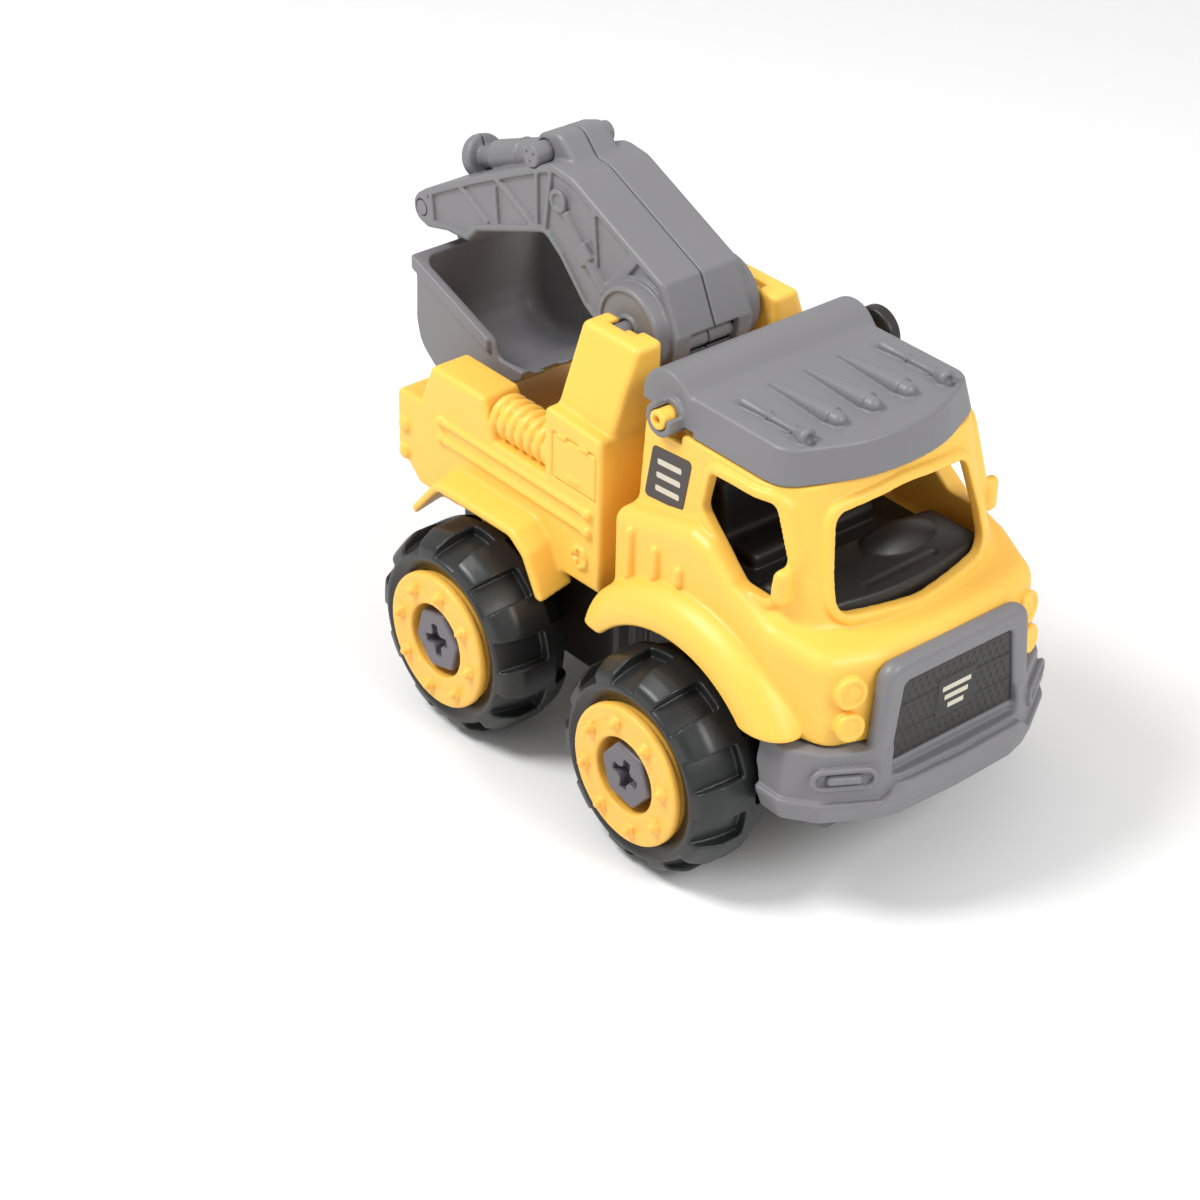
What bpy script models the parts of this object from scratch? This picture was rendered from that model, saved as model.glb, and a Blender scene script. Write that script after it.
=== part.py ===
"""Take-apart toy construction truck: cab with a hinged roof, rear body with an excavator boom and bucket,
and four wheels that turn on bolts. +X is the front, +Y the truck's left side, +Z up, ground at Z = 0.

Lengths in this file are millimetres. Its X = 0 lies in the gap between cab and rear body, and its Z = 0 a
little above the ground. The helpers scale them to metres, and the empty named truck moves the whole
model so that the world origin is the bottom centre of its bounding box.
"""

import math

import bmesh
import bpy
from mathutils import Matrix, Vector

MM = 0.001
CENTRE_SHIFT, GROUND_SHIFT = 14.2, 6.2  # from the world's origin to this file's, along X and Z

# Driving dimensions
GAP = 0.3  # clearance between pieces that touch
WALL = 2.0  # wall of the moulded shells

AXLES = {"front": 30.0, "rear": -42.9}
WHEEL_R = 27.4
AXLE_Z = WHEEL_R - GROUND_SHIFT
TYRE_INNER_Y, TYRE_OUTER_Y = 34.8, 56.5
RIM_R, RIM_FACE_Y, RIM_FLANGE = 18.2, 58.2, 2.4
RIM_HOLE_R, RIM_HOLE_FLOOR_Y = 9.9, 49.0
BOLT_R, BOLT_HEAD_R, BOLT_FACE_Y, BOLT_END_Y = 4.0, 8.7, 57.7, 20.0
LUGS = 10

CHASSIS_X = (-72.0, 57.2)
CHASSIS_Y, CHASSIS_Z = 27.0, (11.5, 45.0)
BODY_BOLTS = {"front": 48.5, "cab": 10.0, "middle": -14.0, "rear": -62.0}
BODY_BOLT_R, BODY_BOLT_HEAD_R, BODY_BOLT_HEAD = 2.5, 5.0, 2.4
BUMPER_BOLT = (64.0, 26.0)
CROSS_MEMBER_Z = (17.5, 21.0)

CAB_Y, CABIN_Y = 38.5, 34.5  # half widths of the flared lower body and of the cabin above it
CAB_REAR_X, CABIN_REAR_X = 1.5, 4.5
CABIN_BASE_Z, CABIN_TOP_Z, CAB_FLOOR_Z = 63.0, 98.2, 62.0
ARCH_R, MUDGUARD_R, MUDGUARD_Y, MUDGUARD_BASE_Z = 32.8, 42.5, 45.6, 42.6
ROOF_PIN = (12.2, 101.1)  # X and Z of the roof's hinge
ROOF_PIN_R, ROOF_PIN_END_Y = 2.4, 35.4
ROOF_Z, ROOF_Y = (98.5, 107.0), 31.3
ROLL_CENTRE, ROLL_R, ROLL_Y = (9.0, 103.3), 9.0, 29.9

BODY_Y, BODY_FRONT_X, BODY_BASE_Z = 37.0, -5.2, 45.5
DECK_Z, CHANNEL_Y = 58.0, 25.3
TOWER_X, TOWER_TOP_Z = (-26.5, -5.5), 108.2
TOWER_INNER_Y, TOWER_TOP_Y, TOWER_BASE_Y = 17.7, 25.7, 33.0

BOOM_PIVOT = (-20.5, 104.5)
BOOM_Y, BOOM_DISC_Y, BOOM_DISC_R = 12.3, 16.8, 11.0
BOOM_PIN_R, BOOM_PIN_END_Y = 2.5, 22.0
KNEE_PIN = (-62.8, 133.2)
KNEE_PIN_R, KNEE_BLOCK_Y = 2.9, 7.4
RAM_START, RAM_STEP, RAM_END = (-64.0, 130.2), (-90.5, 120.1), (-98.0, 117.2)
BOOM_SCREWS = {"knee": (-58.0, 121.5), "arm": (-90.0, 108.5), "base": (-36.5, 113.5)}
BUCKET_PIVOT = (-107.4, 102.9)
BUCKET_PIN_R = 2.0
BUCKET_Y, BUCKET_WALL, LUG_Y = 20.0, 1.8, 3.4

COLOURS = {  # linear colour, roughness
    "yellow": ((0.93, 0.60, 0.07), 0.35),
    "rim_yellow": ((0.90, 0.53, 0.06), 0.35),
    "grey": ((0.23, 0.22, 0.23), 0.42),
    "bolt_grey": ((0.12, 0.11, 0.13), 0.40),
    "black": ((0.018, 0.017, 0.017), 0.45),
    "tyre_black": ((0.014, 0.015, 0.015), 0.38),
    "steel": ((0.55, 0.55, 0.56), 0.30),
}
METALS = {"steel"}


# Scene and materials


def clear_scene():
    for obj in list(bpy.data.objects):
        bpy.data.objects.remove(obj, do_unlink=True)
    for collection in list(bpy.data.collections):
        bpy.data.collections.remove(collection)


def new_collection(name, rendered=True):
    collection = bpy.data.collections.new(name)
    collection.hide_render = not rendered
    bpy.context.scene.collection.children.link(collection)
    return collection


def new_material(name):
    colour, roughness = COLOURS[name]
    material = bpy.data.materials.new(name)
    material.use_nodes = True
    shader = material.node_tree.nodes["Principled BSDF"]
    shader.inputs["Base Color"].default_value = (*colour, 1.0)
    shader.inputs["Roughness"].default_value = roughness
    shader.inputs["Metallic"].default_value = 1.0 if name in METALS else 0.0
    return material


def new_empty(name, location, parent=None):
    empty = bpy.data.objects.new(name, None)
    empty.location = Vector(location) * MM
    empty.parent = parent
    PARTS.objects.link(empty)
    return empty


def add_object(name, mesh):
    """A mesh in millimetres, as an object under the truck's empty."""
    mesh.transform(Matrix.Scale(MM, 4))
    obj = bpy.data.objects.new(name, mesh)
    obj.parent = TRUCK
    PARTS.objects.link(obj)
    return obj


def as_part(obj, colour, joint=None):
    """Gives the object its material and, on a moving body, the empty on its joint's axis as parent."""
    obj.data.materials.clear()
    obj.data.materials.append(MATERIALS[colour])
    if joint:
        obj.parent = joint
        obj.matrix_parent_inverse = Matrix.Translation(-joint.location)
    return obj


def combine(target, tool, operation):
    """Adds a Boolean with the tool, which moves to the cutters' collection."""
    modifier = target.modifiers.new(tool.name, "BOOLEAN")
    modifier.operation = operation
    modifier.solver = "EXACT"
    modifier.object = tool
    PARTS.objects.unlink(tool)
    CUTTERS.objects.link(tool)
    tool.hide_render = True
    tool.display_type = "WIRE"
    return target


def cut(target, *tools):
    for tool in tools:
        combine(target, tool, "DIFFERENCE")
    return target


def join(target, *tools):
    for tool in tools:
        combine(target, tool, "UNION")
    return target


def bevel(obj, width, segments=2, angle=30.0):
    modifier = obj.modifiers.new("Bevel", "BEVEL")
    modifier.width = width * MM
    modifier.segments = segments
    modifier.limit_method = "ANGLE"
    modifier.angle_limit = math.radians(angle)
    return obj


# Shapes


def mesh_from(name, bm):
    mesh = bpy.data.meshes.new(name)
    bm.to_mesh(mesh)
    bm.free()
    return mesh


def box(name, x, y, z):
    """A box between two limits on each axis."""
    bm = bmesh.new()
    bmesh.ops.create_cube(bm, size=1.0)
    limits = [sorted(pair) for pair in (x, y, z)]
    centre = [(low + high) / 2 for low, high in limits]
    size = [high - low for low, high in limits]
    bm.transform(Matrix.LocRotScale(Vector(centre), None, Vector(size)))
    return add_object(name, mesh_from(name, bm))


def rod(name, start, end, radius, sides=24, end_radius=None):
    """A cylinder, prism or cone between two points."""
    start, end = Vector(start), Vector(end)
    along = end - start
    bm = bmesh.new()
    bmesh.ops.create_cone(
        bm,
        cap_ends=True,
        segments=sides,
        radius1=radius,
        radius2=radius if end_radius is None else end_radius,
        depth=along.length,
    )
    turn = along.to_track_quat("Z", "Y").to_matrix().to_4x4()
    bm.transform(Matrix.Translation((start + end) / 2) @ turn)
    return add_object(name, mesh_from(name, bm))


def rod_y(name, xz, y, radius, sides=28):
    """A cylinder across the truck, about the point (X, Z)."""
    return rod(name, (xz[0], y[0], xz[1]), (xz[0], y[1], xz[1]), radius, sides)


PLANES = {  # the outline's two axes, and the axis that it is extruded along
    "XZ": Matrix(((1, 0, 0, 0), (0, 0, -1, 0), (0, 1, 0, 0), (0, 0, 0, 1))),
    "YZ": Matrix(((0, 0, 1, 0), (1, 0, 0, 0), (0, 1, 0, 0), (0, 0, 0, 1))),
    "XY": Matrix.Identity(4),
}


def plate(name, plane, outline, low, high):
    """A flat outline in a plane, extruded between two limits on the third axis."""
    curve = bpy.data.curves.new(name, "CURVE")
    curve.dimensions = "2D"
    curve.fill_mode = "BOTH"
    curve.extrude = (high - low) / 2
    spline = curve.splines.new("POLY")
    spline.points.add(len(outline) - 1)
    for point, (u, v) in zip(spline.points, outline):
        point.co = (u, v, 0.0, 1.0)
    spline.use_cyclic_u = True
    guide = bpy.data.objects.new(name, curve)
    PARTS.objects.link(guide)
    mesh = bpy.data.meshes.new_from_object(guide.evaluated_get(bpy.context.evaluated_depsgraph_get()))
    bpy.data.objects.remove(guide)
    bm = bmesh.new()
    bm.from_mesh(mesh)
    bmesh.ops.remove_doubles(bm, verts=bm.verts, dist=1e-4)
    along = PLANES[plane] @ Vector((0.0, 0.0, 1.0))
    middle = (low + high) / 2
    bm.transform(Matrix.Translation(middle * Vector(map(abs, along))) @ PLANES[plane])
    bmesh.ops.recalc_face_normals(bm, faces=bm.faces)
    bm.to_mesh(mesh)
    bm.free()
    return add_object(name, mesh)


def both_sides(name, plane_xz, low, high):
    """The same XZ outline on each side of the truck, as a right and a left plate."""
    return [
        plate(name + "_right", "XZ", plane_xz, -high, -low),
        plate(name + "_left", "XZ", plane_xz, low, high),
    ]


def arc(centre, radius, start, end, steps=8):
    """Points on an arc, from one angle to another in degrees."""
    angles = [math.radians(start + (end - start) * i / steps) for i in range(steps + 1)]
    return [(centre[0] + radius * math.cos(a), centre[1] + radius * math.sin(a)) for a in angles]


def rounded(corners, steps=4):
    """An outline whose corners (u, v, radius) are replaced by arcs."""
    outline = []
    for i, (u, v, radius) in enumerate(corners):
        corner = Vector((u, v))
        before = (Vector(corners[i - 1][:2]) - corner).normalized()
        after = (Vector(corners[(i + 1) % len(corners)][:2]) - corner).normalized()
        half = before.angle(after) / 2
        if radius == 0 or abs(math.degrees(half) - 90) < 1:
            outline.append((u, v))
            continue
        start = corner + before * radius / math.tan(half)
        centre = corner + (before + after).normalized() * radius / math.sin(half)
        first = start - centre
        last = corner + after * radius / math.tan(half) - centre
        sweep = first.angle_signed(last)
        for step in range(steps + 1):
            spoke = first.copy()
            spoke.rotate(Matrix.Rotation(-sweep * step / steps, 2))
            outline.append(tuple(centre + spoke))
    return outline


def inset(outline, distance):
    """The outline moved inwards; its points run anticlockwise."""
    moved = []
    for i, here in enumerate(outline):
        here = Vector(here)
        ahead = (Vector(outline[(i + 1) % len(outline)]) - here).normalized()
        behind = (here - Vector(outline[i - 1])).normalized()
        normal = (Vector((-ahead.y, ahead.x)) + Vector((-behind.y, behind.x))).normalized()
        share = max(0.5, normal.dot(Vector((-ahead.y, ahead.x))))
        moved.append(tuple(here + normal * distance / share))
    return moved


def taper_top(obj, pivot, scale, above):
    """Scales the vertices above a height about a point in plan, for walls that lean."""
    for vertex in obj.data.vertices:
        if vertex.co.z > above * MM:
            vertex.co.x = pivot[0] * MM + (vertex.co.x - pivot[0] * MM) * scale[0]
            vertex.co.y = pivot[1] * MM + (vertex.co.y - pivot[1] * MM) * scale[1]
    return obj


def turned(name, profile, steps=48):
    """A solid of revolution about its local Z: (radius, height) points down the outside, up the inside."""
    mesh = bpy.data.meshes.new(name)
    count = len(profile)
    points = [(radius * MM, 0.0, height * MM) for radius, height in profile]
    mesh.from_pydata(points, [(i, (i + 1) % count) for i in range(count)], [])
    obj = bpy.data.objects.new(name, mesh)
    PARTS.objects.link(obj)
    screw = obj.modifiers.new("Screw", "SCREW")
    screw.steps = screw.render_steps = steps
    screw.use_merge_vertices = True
    screw.merge_threshold = 1e-4
    return obj


# Wheels

TYRE_PROFILE = [
    (RIM_R + 0.5, TYRE_OUTER_Y - 1.4),
    (21.5, TYRE_OUTER_Y),
    (25.2, TYRE_OUTER_Y - 0.6),
    (WHEEL_R, TYRE_OUTER_Y - 2.6),
    (WHEEL_R, TYRE_INNER_Y + 2.2),
    (25.0, TYRE_INNER_Y + 0.2),
    (RIM_R - 0.4, TYRE_INNER_Y),
    (RIM_R - 0.4, RIM_FACE_Y - RIM_FLANGE - GAP - 1.0),
]
RIM_BARREL_R = RIM_R - 0.4 - GAP
RIM_PROFILE = [
    (RIM_HOLE_R, RIM_FACE_Y),
    (RIM_R - 0.6, RIM_FACE_Y),
    (RIM_R, RIM_FACE_Y - 0.6),
    (RIM_R, RIM_FACE_Y - RIM_FLANGE),
    (RIM_BARREL_R, RIM_FACE_Y - RIM_FLANGE),
    (RIM_BARREL_R, TYRE_INNER_Y + 0.4),
    (RIM_BARREL_R - 2.2, TYRE_INNER_Y + 0.4),
    (RIM_BARREL_R - 2.2, RIM_HOLE_FLOOR_Y - 2.2),
    (BOLT_R + 3.0, RIM_HOLE_FLOOR_Y - 2.2),
    (BOLT_R + 3.0, TYRE_INNER_Y + 0.4),
    (BOLT_R + GAP, TYRE_INNER_Y + 0.4),
    (BOLT_R + GAP, RIM_HOLE_FLOOR_Y),
    (RIM_HOLE_R, RIM_HOLE_FLOOR_Y),
]


def tread_pockets(name):
    """The pockets between the lugs, open to the outer sidewall, and a staggered row at the inner edge."""
    bm = bmesh.new()
    rows = ((0.0, TYRE_OUTER_Y - 10.5, TYRE_OUTER_Y + 1.0), (0.5, TYRE_INNER_Y - 1.0, TYRE_INNER_Y + 8.0))
    for offset, low, high in rows:
        for lug in range(LUGS):
            size = Matrix.Diagonal((5.0, 7.0, high - low, 1.0))
            place = Matrix.Translation((WHEEL_R + 0.3, 0.0, (low + high) / 2))
            turn = Matrix.Rotation(math.tau * (lug + offset) / LUGS, 4, "Z")
            bmesh.ops.create_cube(bm, size=1.0, matrix=turn @ place @ size)
    obj = add_object(name, mesh_from(name, bm))
    obj.parent = None
    return obj


def wheel(label, x, side):
    """Tyre and rim on their bolt. The wheel's local Z points out of the truck's side."""
    hub = new_empty(f"wheel_{label}_axis", (x, 0.0, AXLE_Z), TRUCK)
    turn = Matrix.Rotation(math.radians(-90.0 * side), 4, "X")
    tyre = turned(f"tyre_{label}", TYRE_PROFILE, 40)
    cut(tyre, tread_pockets(f"tread_{label}"))
    tread = CUTTERS.objects[f"tread_{label}"]
    rim = turned(f"rim_{label}", RIM_PROFILE, 32)
    for piece in (tyre, tread, rim):
        piece.parent = hub
        piece.matrix_local = turn
    as_part(tyre, "tyre_black")
    as_part(rim, "rim_yellow")
    head_y = (side * (RIM_HOLE_FLOOR_Y + GAP), side * BOLT_FACE_Y)
    bolt = rod_y(f"wheel_bolt_{label}", (x, AXLE_Z), head_y, BOLT_HEAD_R, 6)
    head_overlap = side * (RIM_HOLE_FLOOR_Y + 2.0)
    join(bolt, rod_y(f"shank_{label}", (x, AXLE_Z), (side * BOLT_END_Y, head_overlap), BOLT_R, 32))
    for i, (width, height) in enumerate(((6.4, 1.8), (1.8, 6.4))):
        slot = box(
            f"cross_{label}_{i}",
            (x - width / 2, x + width / 2),
            (side * (BOLT_FACE_Y - 3.0), side * (BOLT_FACE_Y + 1.0)),
            (AXLE_Z - height / 2, AXLE_Z + height / 2),
        )
        cut(bolt, slot)
    as_part(bolt, "bolt_grey")


def wheels():
    for axle, x in AXLES.items():
        for name, side in (("right", -1), ("left", 1)):
            wheel(f"{axle}_{name}", x, side)


# Chassis and the bolts under it


def chassis():
    floor = CHASSIS_Z[0]
    tray = box("chassis", CHASSIS_X, (-CHASSIS_Y, CHASSIS_Y), CHASSIS_Z)
    inside_x = (CHASSIS_X[0] + WALL, CHASSIS_X[1] - WALL)
    inside_y = (-CHASSIS_Y + WALL, CHASSIS_Y - WALL)
    cut(tray, box("tray_inside", inside_x, inside_y, (floor + WALL, CHASSIS_Z[1] + 5.0)))
    for axle, x in AXLES.items():
        for side in (-1, 1):
            ends = (side * (BOLT_END_Y - 2.0), side * (TYRE_INNER_Y - 0.4))
            join(tray, rod_y(f"boss_{axle}_{side}", (x, AXLE_Z), ends, 7.5))
    join(tray, box("cross_member", (CHASSIS_X[1] - 2.6, 68.5), (-31.5, 31.5), CROSS_MEMBER_Z))
    for axle, x in AXLES.items():
        for side in (-1, 1):
            bore = (side * (BOLT_END_Y - GAP), side * (TYRE_INNER_Y + 1.0))
            cut(tray, rod_y(f"bore_{axle}_{side}", (x, AXLE_Z), bore, BOLT_R + GAP, 32))
    for name, x in BODY_BOLTS.items():
        cut(tray, rod(f"hole_{name}", (x, 0, floor - 1), (x, 0, floor + 4), BODY_BOLT_R + GAP))
    for side in (-1, 1):
        x, y = BUMPER_BOLT[0], side * BUMPER_BOLT[1]
        cut(tray, rod(f"bumper_hole_{side}", (x, y, 10.0), (x, y, 24.0), BODY_BOLT_R + GAP))
    as_part(tray, "black")


def upright_bolt(name, x, y, head_z, top_z):
    """A hexagon bolt put in from below, with a cross recess in its head."""
    head = rod(name, (x, y, head_z), (x, y, head_z + BODY_BOLT_HEAD), BODY_BOLT_HEAD_R, 6)
    join(head, rod(name + "_shank", (x, y, head_z + 1.0), (x, y, top_z), BODY_BOLT_R))
    for i, (length, width) in enumerate(((5.0, 1.3), (1.3, 5.0))):
        cut(
            head,
            box(
                f"{name}_slot_{i}",
                (x - length / 2, x + length / 2),
                (y - width / 2, y + width / 2),
                (head_z - 1.0, head_z + 1.2),
            ),
        )
    as_part(head, "bolt_grey")


def bolts_below():
    head_z = CHASSIS_Z[0] - GAP - BODY_BOLT_HEAD
    for name, x in BODY_BOLTS.items():
        upright_bolt(f"body_bolt_{name}", x, 0.0, head_z, 30.0)
    bumper_head_z = CROSS_MEMBER_Z[0] - GAP - BODY_BOLT_HEAD
    for name, side in (("right", -1), ("left", 1)):
        upright_bolt(f"bumper_bolt_{name}", BUMPER_BOLT[0], side * BUMPER_BOLT[1], bumper_head_z, 30.0)


def bolt_post(name, x, top_z):
    """A post that hangs inside a body shell and takes a body bolt."""
    bottom = CHASSIS_Z[0] + WALL + GAP
    post = rod(name, (x, 0, bottom), (x, 0, top_z), 5.0)
    hole = rod(name + "_hole", (x, 0, bottom - 1), (x, 0, 36.0), BODY_BOLT_R + GAP)
    return post, hole


# Cab

CAB_SIDE = rounded(
    [
        (CAB_REAR_X, BODY_BASE_Z, 0),
        (76.5, 41.3, 0),
        (75.5, 52.0, 6.0),
        (72.5, 63.8, 6.0),
        (58.0, 65.3, 0),
        (49.5, 66.0, 8.0),
        (39.0, 67.8, 8.0),
        (28.0, 75.5, 8.0),
        (CAB_REAR_X, 75.5, 2.0),
    ]
)
CAB_PLAN = rounded(
    [
        (CAB_REAR_X, -CAB_Y, 2.0),
        (57.0, -CAB_Y, 12.0),
        (71.0, -34.0, 7.0),
        (75.4, -20.0, 20.0),
        (76.0, 0.0, 0),
        (75.4, 20.0, 20.0),
        (71.0, 34.0, 7.0),
        (57.0, CAB_Y, 12.0),
        (CAB_REAR_X, CAB_Y, 2.0),
    ]
)
CABIN_FRONT_X = 62.7
SIDE_WINDOW = rounded(
    [(27.0, 84.0, 2), (42.4, 71.4, 3), (50.7, 71.6, 2), (53.2, 82.0, 2), (48.3, 94.0, 2), (29.0, 93.6, 2)]
)
WINDSCREEN = rounded(
    [(-21.0, 65.6, 5), (21.0, 65.6, 5), (25.0, 72.0, 6), (20.5, 92.6, 3)]
    + [(0.0, 93.6, 0), (-20.5, 92.6, 3), (-25.0, 72.0, 6)]
)


def cabin_block(name, shrink, low, high):
    """The cabin's block with leaning walls, or its inside when shrunk."""
    front, rear, half = CABIN_FRONT_X - shrink, CABIN_REAR_X + shrink, CABIN_Y - shrink
    corner = 9.0 - shrink
    plan = [(rear, -half, 0.8), (front, -half, corner), (front, half, corner), (rear, half, 0.8)]
    block = plate(name, "XY", rounded(plan), low, high)
    lean = (high - low) / (CABIN_TOP_Z - CABIN_BASE_Z)
    return taper_top(block, (rear, 0.0), (1.0 - 0.145 * lean, 1.0 - 0.075 * lean), high - 1.0)


def front_mudguards():
    """Quarter-round skirts over the front wheels, cut off level at both ends."""
    x = AXLES["front"]
    profile = [
        (ARCH_R, MUDGUARD_Y),
        (ARCH_R + 2.4, MUDGUARD_Y),
        (MUDGUARD_R - 3.8, MUDGUARD_Y - 1.2),
        (MUDGUARD_R - 1.2, MUDGUARD_Y - 3.6),
        (MUDGUARD_R, CAB_Y + 0.8),
        (MUDGUARD_R, CAB_Y - 2.2),
        (MUDGUARD_R - 2.8, CAB_Y - 2.2),
        (MUDGUARD_R - 2.8, CAB_Y + 0.6),
        (MUDGUARD_R - 4.4, CAB_Y + 3.2),
        (ARCH_R, CAB_Y + 5.2),
    ]
    guards = []
    for name, side in (("right", -1), ("left", 1)):
        guard = turned(f"front_mudguard_{name}", profile, 48)
        guard.parent = TRUCK
        place = Matrix.Translation(Vector((x, 0.0, AXLE_Z)) * MM)
        guard.matrix_local = place @ Matrix.Rotation(math.radians(-90.0 * side), 4, "X")
        below = box(f"mudguard_cut_{name}", (x - 60, x + 60), (-60, 60), (-40.0, MUDGUARD_BASE_Z))
        guards.append(cut(guard, below))
    return guards


def headlights():
    lamps = []
    for side in (-1, 1):
        for name, x, y, z, radius in (("upper", 73.2, 28.8, 55.8, 4.0), ("lower", 74.3, 29.4, 47.2, 3.7)):
            y *= side
            lamps.append(rod(f"{name}_lamp_{side}", (x - 6, y, z), (x + 1.2, y, z), radius, 24))
    return lamps


def roof_pins():
    """Ears inside the cabin and the pins that carry the roof's clips."""
    x, z = ROOF_PIN
    pieces = []
    for side in (-1, 1):
        pieces.append(box(f"ear_foot_{side}", (x - 2, x + 2), (side * 26.0, side * 32.6), (79.0, 85.0)))
        pieces.append(box(f"ear_{side}", (x - 1.8, x + 1.8), (side * 26.2, side * 28.1), (82.0, z + 1.5)))
        pieces.append(rod_y(f"pin_{side}", ROOF_PIN, (side * 27.0, side * ROOF_PIN_END_Y), ROOF_PIN_R, 24))
    return pieces


def cab_shell():
    shell = plate("cab_shell", "XZ", CAB_SIDE, -CAB_Y - 5.0, CAB_Y + 5.0)
    combine(shell, plate("cab_plan", "XY", CAB_PLAN, 30.0, 90.0), "INTERSECT")
    join(shell, cabin_block("cabin", 0.0, CABIN_BASE_Z - 3.0, CABIN_TOP_Z))
    half = CAB_Y - WALL
    corners = [(CAB_REAR_X + WALL, 1.0), (57.0, 10.0), (69.0, 5.0)]
    depths = [half, half, 31.5]
    right = [(x, -y, r) for (x, r), y in zip(corners, depths)] + [(71.3, -19.0, 8.0)]
    room_plan = rounded(right + [(x, -y, r) for x, y, r in reversed(right)])
    room = plate("under_cab", "XY", room_plan, 30.0, CAB_FLOOR_Z - WALL)
    cut(shell, room, cabin_block("cabin_room", 1.7, CAB_FLOOR_Z, CABIN_TOP_Z + 3.0))
    for side in (-1, 1):
        arch_y = (side * 30.8, side * 50.0)
        cut(shell, rod_y(f"wheel_arch_{side}", (AXLES["front"], AXLE_Z), arch_y, ARCH_R + 1.6, 64))
        notch_x = (ROOF_PIN[0] - 5.2, ROOF_PIN[0] + 5.2)
        cut(shell, box(f"clip_notch_{side}", notch_x, (side * 28.2, side * 45.0), (95.9, 105.0)))
    cut(shell, plate("side_windows", "XZ", SIDE_WINDOW, -45.0, 45.0))
    cut(shell, plate("windscreen", "YZ", WINDSCREEN, 50.0, 70.0))
    cut(shell, box("rear_window", (0.0, 9.0), (-30.4, 30.4), (86.2, 100.0)))
    join(shell, *front_mudguards(), *headlights(), *roof_pins())
    for side in (-1, 1):
        tab = box(f"mirror_{side}", (51.5, 56.5), (side * 31.5, side * 36.0), (73.5, 80.5))
        join(shell, bevel(tab, 0.8))
    for name in ("front", "cab"):
        post, hole = bolt_post(f"cab_post_{name}", BODY_BOLTS[name], CAB_FLOOR_Z - 1.0)
        join(shell, post)
        cut(shell, hole)
    as_part(shell, "yellow")


def cab_inside():
    dash = [
        (38.0, CAB_FLOOR_Z + GAP, 0),
        (58.8, CAB_FLOOR_Z + GAP, 0),
        (58.2, 66.0, 2),
        (54.5, 79.0, 3),
        (48.0, 79.5, 3),
        (41.0, 72.0, 3),
    ]
    as_part(bevel(plate("dashboard", "XZ", rounded(dash), -25.5, 25.5), 2.0), "black")
    seat = [
        (14.0, CAB_FLOOR_Z + GAP, 0),
        (31.0, CAB_FLOOR_Z + GAP, 0),
        (31.0, 68.0, 2),
        (20.0, 67.0, 2),
        (18.0, 82.0, 2),
        (13.5, 82.0, 1.5),
    ]
    as_part(bevel(plate("driver_seat", "XZ", rounded(seat), -20.0, 20.0), 1.2), "black")


def cab_roof():
    """Hollow lid that rests on the cabin's rim. Its rolled rear edge holds the clips on the hinge pins."""
    joint = new_empty("roof_axis", (ROOF_PIN[0], 0.0, ROOF_PIN[1]), TRUCK)
    plan = rounded(
        [(12.0, -ROOF_Y, 0), (49.0, -ROOF_Y, 9), (57.6, -16.0, 30)]
        + [(57.6, 16.0, 30), (49.0, ROOF_Y, 9), (12.0, ROOF_Y, 0)]
    )
    roof = taper_top(plate("cab_roof", "XY", plan, *ROOF_Z), (12.0, 0.0), (1.0, 0.917), 103.0)
    bevel(roof, 0.8)
    roll = arc(ROLL_CENTRE, ROLL_R, -17, 197, 20)
    join(roof, plate("roll", "XZ", roll, -ROLL_Y, ROLL_Y))
    inner = inset(plan, WALL + 0.6)
    hollow = plate("lid_inside", "XY", inner, ROOF_Z[0] - 5.0, ROOF_Z[1] - WALL)
    taper_top(hollow, (12.0, 0.0), (1.0, 0.93), 103.0)
    roll_inside = arc(ROLL_CENTRE, ROLL_R - WALL, 0, 180, 16) + [(2.0, 95.0), (16.0, 95.0)]
    cut(roof, hollow, plate("roll_inside", "XZ", roll_inside, -28.4, 28.4))
    cheek = box("cheek_room", (0.0, 20.0), (-40.0, 40.0), (90.0, 99.6))
    cut(roof, cheek)
    for side in (-1, 1):
        join(roof, rod_y(f"clip_{side}", ROOF_PIN, (side * 28.4, side * 33.4), 4.3))
        cut(roof, rod_y(f"clip_hole_{side}", ROOF_PIN, (side * 25.0, side * 40.0), ROOF_PIN_R + GAP, 24))
    as_part(roof, "grey", joint)


def hinge_knob():
    knob = rod_y("hinge_knob_left", ROOF_PIN, (33.4 + GAP, ROOF_PIN_END_Y + 1.2), 6.8)
    cut(knob, rod_y("knob_hole", ROOF_PIN, (30.0, 45.0), ROOF_PIN_R + GAP, 24))
    as_part(knob, "black")


# Bumper and grille

BUMPER_PLAN = rounded(
    [
        (56.0, -41.5, 1),
        (66.0, -41.5, 3),
        (77.5, -25.5, 3),
        (82.0, -20.0, 2),
        (82.6, 0.0, 0),
        (82.0, 20.0, 2),
        (77.5, 25.5, 3),
        (66.0, 41.5, 3),
        (56.0, 41.5, 1),
    ]
)


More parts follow.
